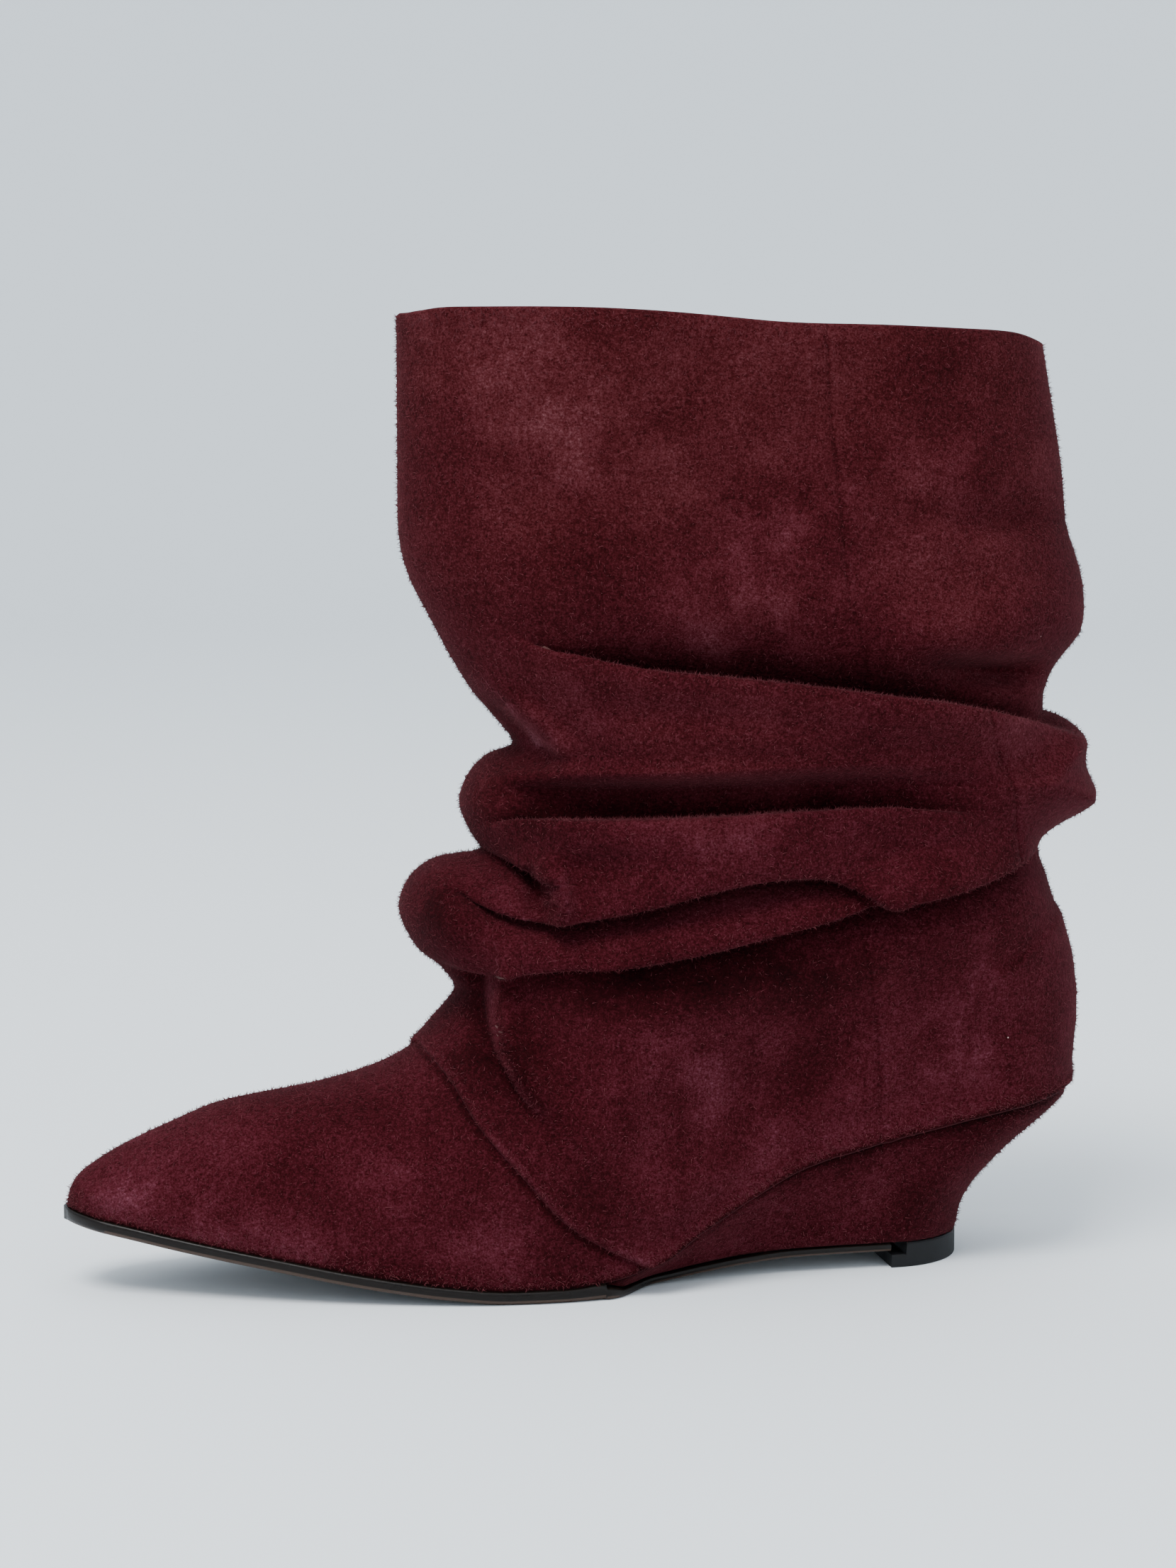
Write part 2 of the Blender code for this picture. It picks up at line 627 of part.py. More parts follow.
def make_wedge(material):
    """Covered wedge: its top follows the last's shank, its back is hollow, its sides lean in."""
    heights = [row[0] for row in WEDGE_FLUTE]
    sections = []
    front_x, full = x_at(WEDGE_START_SHARE), x_at(1) - WEDGE_INSET
    nose = WEDGE_START_SHARE + WEDGE_NOSE_SHARE
    stations = [WEDGE_START_SHARE, nose, *(s for s in RIM_STATIONS if s > nose)]
    for station in stations:
        share = min(float((x_at(station) - front_x) / (full - front_x)), 1.0)
        outer = [wedge_point(share, height, -1) for height in heights]
        inner = [wedge_point(share, height, 1) for height in reversed(heights)]
        sections.append(outer + inner)
    return loft("wedge_heel", sections, material)


def make_top_piece(material):
    """Rubber top piece under the wedge: straight breast, round back, level top and bottom."""
    front, back = float(x_at(BREAST_SHARE)) + GAP, float(x_at(TOP_PIECE_END_SHARE))
    sections = []
    for share in np.sin(np.linspace(0, np.pi / 2, TOP_PIECE_STEPS + 1)):
        x = front + (back - front) * float(share)
        whole = (x - float(x_at(WEDGE_START_SHARE))) / (back - float(x_at(WEDGE_START_SHARE)))
        edges = [wedge_point(whole, 0.0, side)[1] for side in (-1, 1)]
        sections.append([(x, edges[0], 0), (x, edges[0], TOP_PIECE_HEIGHT),
                         (x, edges[1], TOP_PIECE_HEIGHT), (x, edges[1], 0)])
    return loft("top_piece", sections, material)


def make_insole(material):
    """Insole inside the upper's rim, lying along the whole bed."""
    inset = WALL + 2 * GAP
    end = inset / LENGTH
    sections = []
    for station in [end, *(s for s in RIM_STATIONS if end < s < 1 - end), 1 - end]:
        x = float(x_at(station))
        edges = [outline(x, side, -inset) for side in (-1, 1)]
        low = float(bed(x))
        top = low + INSOLE_THICKNESS
        sections.append([(x, edges[0], low), (x, edges[0], top), (x, edges[1], top), (x, edges[1], low)])
    return loft("insole", sections, material)


def main():
    for old in list(bpy.data.objects):
        bpy.data.objects.remove(old, do_unlink=True)
    make_upper(new_material("suede_upper", (0.088, 0.012, 0.018), 0.92))
    make_wedge(new_material("suede_wedge", (0.080, 0.011, 0.017), 0.92))
    make_outsole(new_material("sole_leather", (0.012, 0.010, 0.010), 0.30))
    make_top_piece(new_material("top_piece_rubber", (0.015, 0.015, 0.016), 0.60))
    make_insole(new_material("insole_leather", (0.22, 0.15, 0.10), 0.60))


main()
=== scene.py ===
"""Looks of the slouch boot: brushed wine suede in slack folds, covered wedge, polished sole edge.

Metres, +Z up, toe to -X, outer side of the foot to -Y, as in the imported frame.
"""

import math

import bmesh
import bpy
import numpy as np
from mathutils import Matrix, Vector, noise


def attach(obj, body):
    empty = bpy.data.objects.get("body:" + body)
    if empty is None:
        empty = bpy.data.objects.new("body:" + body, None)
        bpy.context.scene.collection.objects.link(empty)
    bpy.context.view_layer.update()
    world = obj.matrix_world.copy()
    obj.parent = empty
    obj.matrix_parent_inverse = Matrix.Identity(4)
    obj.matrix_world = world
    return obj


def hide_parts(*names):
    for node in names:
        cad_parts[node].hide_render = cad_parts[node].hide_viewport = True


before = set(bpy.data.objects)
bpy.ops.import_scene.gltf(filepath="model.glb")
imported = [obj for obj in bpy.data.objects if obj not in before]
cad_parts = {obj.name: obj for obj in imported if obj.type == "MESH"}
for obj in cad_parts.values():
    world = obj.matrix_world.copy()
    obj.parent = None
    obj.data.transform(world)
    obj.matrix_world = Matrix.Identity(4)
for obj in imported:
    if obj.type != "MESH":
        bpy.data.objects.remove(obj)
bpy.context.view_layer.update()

# Sizes of the last and of the shaft, as in the construction
LENGTH = 0.268
BALL_WIDTH = 0.076
HEEL_HEIGHT = 0.0435
INSTEP_HEIGHT = 0.055
TOE_SPRING = 0.018
SHAFT_HEIGHT = 0.250
SHAFT_DEPTH = 0.170
SHAFT_WIDTH = 0.072
COLLAR_DROP = 0.006
FOLD_DEPTH = 0.011
FOLD_WIDTH = 0.014
WALL = 0.0018
PANEL_STEP = 0.0011
INSOLE_THICKNESS = 0.0022
SOLE_THICKNESS = 0.0035
WAIST_THICKNESS = 0.0020
WEDGE_EDGE = 0.0010
TOP_PIECE_HEIGHT = 0.0065
SOLE_MARGIN = 0.0008
WEDGE_INSET = 0.0010
GAP = 0.0003

# Places along the last from the toe, as shares of LENGTH
ORIGIN_SHARE = 0.508
FLAT_FROM_SHARE = 0.41
FLAT_TO_SHARE = 0.515
WEDGE_START_SHARE = 0.50
BREAST_SHARE = 0.797
TOP_PIECE_END_SHARE = 0.882
SHAFT_AXIS_SHARE = 0.642
WAIST_DRAW_SHARE = 0.06
WAIST_THIN_SHARE = 0.02

# Feather line. Columns: station; outer and inner half width, centre line, as shares of BALL_WIDTH
FEATHER = (
    (0.00, 0.112, 0.112, 0.045), (0.05, 0.180, 0.184, 0.040), (0.10, 0.244, 0.262, 0.033),
    (0.15, 0.302, 0.328, 0.026), (0.20, 0.352, 0.384, 0.019), (0.25, 0.395, 0.432, 0.013),
    (0.30, 0.431, 0.470, 0.008), (0.35, 0.461, 0.489, 0.004), (0.40, 0.481, 0.483, 0.001),
    (0.45, 0.488, 0.452, 0.000), (0.50, 0.478, 0.408, 0.000), (0.55, 0.455, 0.365, 0.000),
    (0.60, 0.422, 0.332, 0.000), (0.65, 0.391, 0.312, 0.000), (0.70, 0.368, 0.304, 0.000),
    (0.80, 0.358, 0.330, 0.000), (0.90, 0.352, 0.350, 0.000), (1.00, 0.345, 0.345, 0.000),
)
TOE_ROUND_SHARE = 0.036
HEEL_ROUND_SHARE = 0.105

# Underside of the outsole. Columns: station; share of TOE_SPRING; share of the waist's rise
UNDERSIDE = (
    (0.00, 1.000, 0.00), (0.05, 0.856, 0.00), (0.10, 0.706, 0.00), (0.15, 0.567, 0.00),
    (0.20, 0.433, 0.00), (0.25, 0.294, 0.00), (0.30, 0.172, 0.00), (0.35, 0.072, 0.00),
    (FLAT_FROM_SHARE, 0.000, 0.00), (FLAT_TO_SHARE, 0.000, 0.00), (0.55, 0.000, 0.12),
    (0.60, 0.000, 0.48), (0.65, 0.000, 0.79), (0.70, 0.000, 0.96), (BREAST_SHARE, 0.000, 1.00),
    (1.00, 0.000, 1.00),
)
# Rise of the last over the outsole. Columns: station; share of HEEL_HEIGHT
SHANK = (
    (0.00, 0.000), (0.46, 0.000), (0.50, 0.024), (0.55, 0.083), (0.60, 0.172), (0.65, 0.290),
    (0.70, 0.410), (0.75, 0.508), (0.80, 0.590), (0.85, 0.655), (0.90, 0.713), (0.95, 0.765),
    (1.00, 0.816),
)
# How far the quarter's hem lies over the last's bottom. Columns: station; share of HEEL_HEIGHT
HEM_RISE = (
    (0.00, 0.000), (0.50, 0.000), (0.55, 0.014), (0.60, 0.082), (0.65, 0.096), (0.70, 0.100),
    (0.75, 0.088), (0.80, 0.078), (0.90, 0.080), (1.00, 0.076),
)
# Hollow back and leaning sides of the wedge. Columns: share of its height; reach of the back; half width
WEDGE_FLUTE = (
    (0.00, 0.00, 0.78), (0.18, 0.04, 0.82), (0.36, 0.15, 0.86), (0.52, 0.33, 0.90),
    (0.68, 0.56, 0.94), (0.82, 0.82, 0.97), (0.92, 0.97, 0.99), (1.00, 1.00, 1.00),
)

# Sections of the foot, from the feather line to the throat. Columns: front station; front height
# over the last's bed, as a share of INSTEP_HEIGHT; back station; back height, the same share
FOOT_SECTIONS = (
    (0.000, 0.000, 1.000, 0.000), (0.003, 0.085, 1.000, 0.070), (0.016, 0.170, 1.001, 0.130),
    (0.045, 0.290, 1.002, 0.200), (0.097, 0.457, 1.004, 0.300), (0.149, 0.600, 1.004, 0.410),
    (0.190, 0.672, 1.002, 0.500), (0.239, 0.755, 0.999, 0.600), (0.295, 0.872, 0.993, 0.710),
    (0.332, 0.985, 0.985, 0.830),
)
# Sections of the shaft, from the throat to the collar. Columns: front, from the shaft's axis, as a
# share of SHAFT_DEPTH; front height, as a share of SHAFT_HEIGHT; back and its height, the same way
SHAFT_SECTIONS = (
    (-0.447, 0.268, 0.530, 0.380), (-0.412, 0.300, 0.515, 0.408), (-0.435, 0.326, 0.503, 0.430),
    (-0.476, 0.350, 0.500, 0.444), (-0.500, 0.388, 0.518, 0.454), (-0.484, 0.418, 0.547, 0.464),
    (-0.440, 0.4385, 0.574, 0.473), (-0.374, 0.446, 0.593, 0.484), (-0.393, 0.467, 0.594, 0.497),
    (-0.408, 0.496, 0.585, 0.512), (-0.394, 0.524, 0.576, 0.530), (-0.365, 0.544, 0.578, 0.546),
    (-0.324, 0.557, 0.568, 0.561), (-0.353, 0.584, 0.541, 0.574), (-0.388, 0.612, 0.508, 0.584),
    (-0.424, 0.652, 0.507, 0.600), (-0.455, 0.692, 0.518, 0.622), (-0.482, 0.728, 0.541, 0.644),
    (-0.496, 0.760, 0.565, 0.664), (-0.500, 0.792, 0.572, 0.688), (-0.500, 0.824, 0.570, 0.716),
    (-0.500, 0.852, 0.556, 0.750), (-0.500, 0.880, 0.541, 0.782), (-0.500, 0.912, 0.535, 0.828),
    (-0.500, 0.944, 0.526, 0.876), (-0.500, 0.972, 0.515, 0.928), (-0.500, 1.000, 0.500, 1.000),
)
# How far the upper's side rounds in from its front and back lines. Columns: section, counted from
# the feather line; front rounding and back rounding, as shares of SHAFT_DEPTH
ROUNDING = (
    (0, 0.045, 0.150), (2, 0.060, 0.155), (3, 0.100, 0.160), (4, 0.140, 0.165), (5, 0.180, 0.170),
    (7, 0.225, 0.190), (9, 0.270, 0.220), (13, 0.300, 0.260), (24, 0.340, 0.290), (36, 0.400, 0.360),
)
# Slack width of the shaft. Columns: height, as a share of SHAFT_HEIGHT; outer and inner side, as
# shares of SHAFT_WIDTH
SHAFT_WIDTHS = (
    (0.20, 0.470, 0.450), (0.32, 0.510, 0.490), (0.42, 0.530, 0.520), (0.55, 0.530, 0.520),
    (0.66, 0.500, 0.490), (0.80, 0.450, 0.450), (1.00, 0.415, 0.415),
)
# Heights over the hem, as shares of INSTEP_HEIGHT, in which the rim widens, the folds start, and the
# foot's width turns into the shaft's
RIM_BLEND = 0.20
FOLD_BLEND = 0.25
SIDE_BLEND = (0.35, 1.30)
# Share of the full width over which folds fade out at the front and back
END_FADE = 0.8
# Heights, as shares of SHAFT_HEIGHT, from which the collar drops to the back and waves
COLLAR_TURN = 0.8
COLLAR_WAVE_FROM = 0.90
# The collar's folded edge. Columns: rise; place behind its front end and reach, as shares of SHAFT_DEPTH
COLLAR_WAVES = (
    (0.0014, 0.28, 0.20), (-0.0006, 0.56, 0.10), (-0.0015, 0.00, 0.035), (-0.0024, 1.00, 0.050),
)

# Cross profiles of a fold. Columns: place over the crease, share of the fold's width; place that it
# is rolled to, the same share; valley, share of the fold's valley; lobe, share of its lobe
OVERHANG = (
    (-1.00, -1.00, 0.00, 0.00), (-0.70, -0.69, -0.10, 0.00), (-0.45, -0.40, -0.34, 0.00),
    (-0.28, -0.17, -0.70, 0.00), (-0.16, 0.00, -0.95, 0.00), (-0.07, 0.06, -1.00, 0.05),
    (0.01, 0.03, -0.80, 0.20), (0.08, -0.04, -0.42, 0.48), (0.14, -0.09, -0.14, 0.76),
    (0.21, -0.08, 0.00, 0.96), (0.32, 0.10, 0.00, 1.00), (0.52, 0.43, 0.00, 0.72),
    (0.78, 0.76, 0.00, 0.22), (1.00, 1.00, 0.00, 0.00),
)
POCKET = (
    (-1.00, -1.00, 0.00, 0.00), (-0.86, -0.86, 0.00, 0.16), (-0.70, -0.76, 0.00, 0.36),
    (-0.60, -0.68, -0.12, 0.30), (-0.53, -0.56, -0.48, 0.10), (-0.46, -0.42, -0.84, 0.00),
    (-0.22, -0.14, -1.00, 0.00), (-0.08, 0.03, -1.00, 0.00), (0.01, 0.04, -0.82, 0.14),
    (0.08, -0.04, -0.44, 0.44), (0.14, -0.08, -0.15, 0.74), (0.21, -0.07, 0.00, 0.96),
    (0.32, 0.11, 0.00, 1.00), (0.52, 0.44, 0.00, 0.72), (0.78, 0.76, 0.00, 0.22), (1.00, 1.00, 0.00, 0.00),
)
TROUGH = (
    (-1.00, -1.00, 0.00, 0.00), (-0.60, -0.60, -0.20, 0.30), (-0.25, -0.25, -0.75, 0.00),
    (0.00, 0.00, -1.00, 0.00), (0.25, 0.25, -0.75, 0.00), (0.60, 0.60, -0.20, 0.30),
    (1.00, 1.00, 0.00, 0.00),
)
RIDGE = (
    (-1.00, -1.00, 0.00, 0.00), (-0.60, -0.58, -0.34, 0.00), (-0.32, -0.28, -0.82, 0.00),
    (-0.12, -0.07, -1.00, 0.05), (0.02, 0.02, -0.76, 0.34), (0.14, 0.10, -0.26, 0.80),
    (0.28, 0.26, 0.00, 1.00), (0.52, 0.50, 0.00, 0.70), (0.80, 0.79, 0.00, 0.20), (1.00, 1.00, 0.00, 0.00),
)

# Folds. Columns: side (-1 outer, 1 inner); cross profile; 1 where the lobe lies over the crease, -1
# where it lies under it; width over and width under the crease, as shares of FOLD_WIDTH; then the
# crease's own line of (across, share of SHAFT_DEPTH from the shaft's axis; height, share of
# SHAFT_HEIGHT; valley and lobe, shares of FOLD_DEPTH)
FOLDS = (
    (-1, OVERHANG, -1, 1.60, 0.80, (
        (-0.400, 0.700, 0.00, 0.00), (-0.350, 0.678, 0.08, 0.03), (-0.300, 0.661, 0.28, 0.09),
        (-0.250, 0.650, 0.52, 0.18), (-0.170, 0.639, 0.80, 0.34), (0.025, 0.625, 0.96, 0.42),
        (0.190, 0.610, 1.00, 0.42), (0.309, 0.598, 0.96, 0.38), (0.405, 0.583, 0.80, 0.28),
        (0.480, 0.572, 0.50, 0.16), (0.560, 0.560, 0.20, 0.06))),
    (-1, RIDGE, 1, 0.52, 0.62, (
        (-0.440, 0.656, 0.00, 0.00), (-0.410, 0.630, 0.22, 0.18), (-0.378, 0.609, 0.50, 0.42),
        (-0.346, 0.590, 0.80, 0.66), (-0.318, 0.574, 0.92, 0.74), (-0.296, 0.559, 0.66, 0.54),
        (-0.272, 0.541, 0.00, 0.00))),
    (-1, POCKET, -1, 1.16, 0.80, (
        (-0.430, 0.474, 0.00, 0.00), (-0.400, 0.479, 0.14, 0.02), (-0.370, 0.483, 0.34, 0.08),
        (-0.337, 0.486, 0.62, 0.16), (-0.300, 0.486, 0.86, 0.26), (-0.213, 0.487, 0.96, 0.30),
        (-0.050, 0.491, 0.92, 0.28), (0.080, 0.494, 0.78, 0.24), (0.190, 0.495, 0.54, 0.16),
        (0.290, 0.493, 0.26, 0.06), (0.380, 0.488, 0.00, 0.00))),
    (-1, OVERHANG, 1, 0.60, 0.50, (
        (-0.410, 0.458, 0.20, 0.00), (-0.388, 0.451, 0.60, 0.06), (-0.362, 0.445, 0.86, 0.14),
        (-0.338, 0.438, 0.98, 0.22), (-0.320, 0.433, 0.78, 0.22), (-0.307, 0.427, 0.30, 0.10),
        (-0.296, 0.421, 0.00, 0.00))),
    (-1, RIDGE, 1, 0.44, 0.40, (
        (-0.326, 0.448, 0.00, 0.00), (-0.315, 0.438, 0.40, 0.30), (-0.307, 0.426, 0.78, 0.56),
        (-0.304, 0.413, 0.62, 0.50), (-0.303, 0.402, 0.24, 0.20), (-0.301, 0.392, 0.00, 0.00))),
    (-1, OVERHANG, 1, 0.90, 0.84, (
        (-0.450, 0.420, 0.10, 0.00), (-0.418, 0.409, 0.50, 0.04), (-0.377, 0.397, 0.80, 0.10),
        (-0.337, 0.391, 0.90, 0.18), (-0.303, 0.389, 1.02, 0.26), (-0.262, 0.393, 1.10, 0.32),
        (-0.208, 0.401, 1.10, 0.34), (-0.150, 0.410, 1.06, 0.32), (-0.048, 0.428, 0.96, 0.30),
        (0.023, 0.435, 0.90, 0.30), (0.072, 0.436, 0.84, 0.30), (0.113, 0.432, 0.72, 0.26),
        (0.155, 0.422, 0.50, 0.20), (0.190, 0.411, 0.26, 0.10), (0.230, 0.402, 0.00, 0.00))),
    (-1, OVERHANG, 1, 0.84, 1.10, (
        (-0.444, 0.334, 0.24, 0.08), (-0.411, 0.331, 0.60, 0.16), (-0.377, 0.331, 0.56, 0.16),
        (-0.330, 0.335, 0.30, 0.10), (-0.270, 0.341, 0.34, 0.12), (-0.215, 0.345, 0.56, 0.22),
        (-0.153, 0.352, 0.82, 0.30), (-0.075, 0.362, 0.86, 0.32), (0.023, 0.377, 0.90, 0.36),
        (0.113, 0.391, 0.92, 0.40), (0.164, 0.398, 0.92, 0.44), (0.251, 0.408, 0.92, 0.44),
        (0.320, 0.417, 0.86, 0.40), (0.366, 0.424, 0.76, 0.32), (0.426, 0.435, 0.54, 0.20),
        (0.499, 0.442, 0.20, 0.08))),
    (-1, RIDGE, 1, 0.50, 0.60, (
        (-0.378, 0.326, 0.34, 0.40), (-0.377, 0.278, 0.40, 0.46), (-0.371, 0.252, 0.40, 0.46),
        (-0.341, 0.211, 0.32, 0.34), (-0.318, 0.192, 0.14, 0.14), (-0.300, 0.178, 0.00, 0.00))),
    (-1, TROUGH, -1, 0.62, 0.52, (
        (0.240, 0.650, 0.00, 0.00), (0.300, 0.643, 0.30, 0.10), (0.357, 0.637, 0.52, 0.16),
        (0.420, 0.632, 0.56, 0.16), (0.470, 0.629, 0.34, 0.10), (0.540, 0.622, 0.00, 0.00))),
    (-1, RIDGE, -1, 1.00, 0.90, (
        (0.250, 0.800, 0.00, 0.00), (0.310, 0.786, 0.10, 0.08), (0.400, 0.780, 0.15, 0.12),
        (0.480, 0.779, 0.14, 0.10), (0.560, 0.774, 0.04, 0.03))),
    (1, OVERHANG, 1, 0.95, 1.00, (
        (-0.420, 0.430, 0.05, 0.00), (-0.375, 0.418, 0.40, 0.12), (-0.345, 0.392, 0.60, 0.22),
        (-0.320, 0.362, 0.76, 0.32), (-0.290, 0.348, 0.84, 0.36), (-0.160, 0.343, 0.88, 0.38),
        (0.030, 0.348, 0.92, 0.42), (0.160, 0.357, 0.96, 0.46), (0.260, 0.368, 0.94, 0.44),
        (0.350, 0.388, 0.84, 0.36), (0.430, 0.415, 0.56, 0.20), (0.500, 0.438, 0.20, 0.08))),
    (1, RIDGE, 1, 0.80, 0.75, (
        (-0.300, 0.352, 0.00, 0.00), (-0.318, 0.372, 0.30, 0.24), (-0.350, 0.400, 0.44, 0.30),
        (-0.385, 0.428, 0.30, 0.16), (-0.430, 0.448, 0.10, 0.04))),
    (1, OVERHANG, 1, 1.00, 0.90, (
        (-0.395, 0.556, 0.10, 0.04), (-0.330, 0.546, 0.50, 0.16), (-0.260, 0.524, 0.90, 0.26),
        (-0.180, 0.492, 1.05, 0.32), (-0.080, 0.466, 1.02, 0.32), (0.030, 0.444, 0.88, 0.28),
        (0.120, 0.424, 0.58, 0.18), (0.190, 0.406, 0.24, 0.08), (0.250, 0.394, 0.00, 0.00))),
    (1, OVERHANG, -1, 1.10, 0.75, (
        (0.560, 0.566, 0.30, 0.10), (0.490, 0.582, 0.72, 0.24), (0.420, 0.588, 0.78, 0.30),
        (0.340, 0.578, 0.66, 0.28), (0.250, 0.562, 0.48, 0.22), (0.120, 0.534, 0.28, 0.12),
        (0.020, 0.516, 0.00, 0.00))),
    (1, TROUGH, 1, 0.80, 0.80, (
        (0.540, 0.512, 0.40, 0.20), (0.470, 0.506, 0.40, 0.26), (0.400, 0.508, 0.28, 0.20),
        (0.330, 0.516, 0.00, 0.00))),
    (1, RIDGE, 1, 0.75, 0.80, (
        (-0.440, 0.296, 0.10, 0.10), (-0.410, 0.256, 0.26, 0.24), (-0.372, 0.214, 0.28, 0.26),
        (-0.330, 0.168, 0.18, 0.16), (-0.290, 0.132, 0.00, 0.00))),
)

# Puffs and dents of slack suede. Columns: side; across; height; reach along; reach up; share of FOLD_DEPTH
PUFFS = (
    (-1, -0.322, 0.412, 0.018, 0.012, -0.22), (-1, -0.286, 0.424, 0.015, 0.030, 0.24),
    (-1, -0.09, 0.105, 0.110, 0.050, 0.26), (-1, 0.20, 0.250, 0.200, 0.090, 0.16),
    (-1, 0.10, 0.575, 0.280, 0.026, 0.22), (-1, -0.08, 0.462, 0.200, 0.026, 0.22),
    (-1, -0.30, 0.900, 0.160, 0.070, 0.10), (-1, -0.34, 0.790, 0.070, 0.045, -0.12),
    (-1, 0.40, 0.784, 0.110, 0.020, -0.20), (-1, 0.40, 0.830, 0.130, 0.030, 0.10),
    (-1, 0.38, 0.634, 0.080, 0.014, -0.34), (-1, 0.36, 0.672, 0.110, 0.024, 0.18),
    (-1, 0.02, 0.720, 0.140, 0.050, 0.12), (-1, 0.46, 0.500, 0.060, 0.030, 0.14),
    (-1, -0.22, 0.205, 0.060, 0.050, 0.14), (-1, 0.02, 0.215, 0.070, 0.050, -0.10),
    (-1, -0.60, 0.110, 0.120, 0.040, 0.05), (-1, -0.455, 0.375, 0.040, 0.030, 0.20),
    (1, 0.20, 0.440, 0.260, 0.040, 0.30), (1, -0.10, 0.400, 0.150, 0.030, 0.20),
    (1, 0.42, 0.690, 0.090, 0.022, -0.30), (1, 0.30, 0.640, 0.120, 0.020, -0.18),
    (1, 0.38, 0.760, 0.120, 0.040, 0.16), (1, -0.28, 0.760, 0.120, 0.060, 0.10),
    (1, -0.10, 0.165, 0.120, 0.060, 0.18), (1, -0.26, 0.260, 0.060, 0.050, 0.12),
)

# Line of the seam where the shaft's panels stand over the vamp. Columns: side; across; height
VAMP_SEAM = {
    -1: ((-0.620, 0.300), (-0.506, 0.262), (-0.447, 0.222), (-0.412, 0.180), (-0.376, 0.150),
         (-0.335, 0.118), (-0.294, 0.086), (-0.247, 0.062), (-0.206, 0.046), (-0.100, 0.010)),
    1: ((-0.620, 0.300), (-0.506, 0.262), (-0.430, 0.170), (-0.370, 0.108), (-0.318, 0.066),
        (-0.235, 0.036), (-0.130, 0.000)),
}
# Lines of the side seams between the front and back panels, over and under the folds
SIDE_SEAMS = {
    -1: (((0.109, 1.010), (0.112, 0.987), (0.121, 0.880), (0.134, 0.794), (0.139, 0.728),
          (0.155, 0.689), (0.178, 0.641), (0.190, 0.612)),
         ((0.345, 0.590), (0.385, 0.545), (0.409, 0.505), (0.420, 0.445), (0.418, 0.425)),
         ((0.160, 0.395), (0.176, 0.343), (0.190, 0.301), (0.202, 0.261), (0.208, 0.208),
          (0.211, 0.150), (0.212, 0.100))),
    1: (((0.098, 1.010), (0.100, 0.990), (0.085, 0.860), (0.071, 0.720), (0.064, 0.620),
         (0.053, 0.528)),
        ((0.053, 0.528), (0.120, 0.450), (0.150, 0.400), (0.157, 0.358)),
        ((0.153, 0.340), (0.165, 0.290), (0.176, 0.240), (0.184, 0.180), (0.188, 0.112),
         (0.189, 0.070))),
}

# Sharp ridges, too narrow for the mesh, drawn as worn nap with a painted highlight. Columns: across; height
WRINKLES = {
    -1: (((-0.377, 0.328), (-0.375, 0.303), (-0.375, 0.277), (-0.370, 0.253), (-0.354, 0.230),
          (-0.339, 0.209), (-0.317, 0.192)),
         ((-0.352, 0.604), (-0.332, 0.588), (-0.310, 0.570), (-0.298, 0.556))),
    1: (((-0.430, 0.300), (-0.395, 0.256), (-0.357, 0.214), (-0.315, 0.168)),),
}
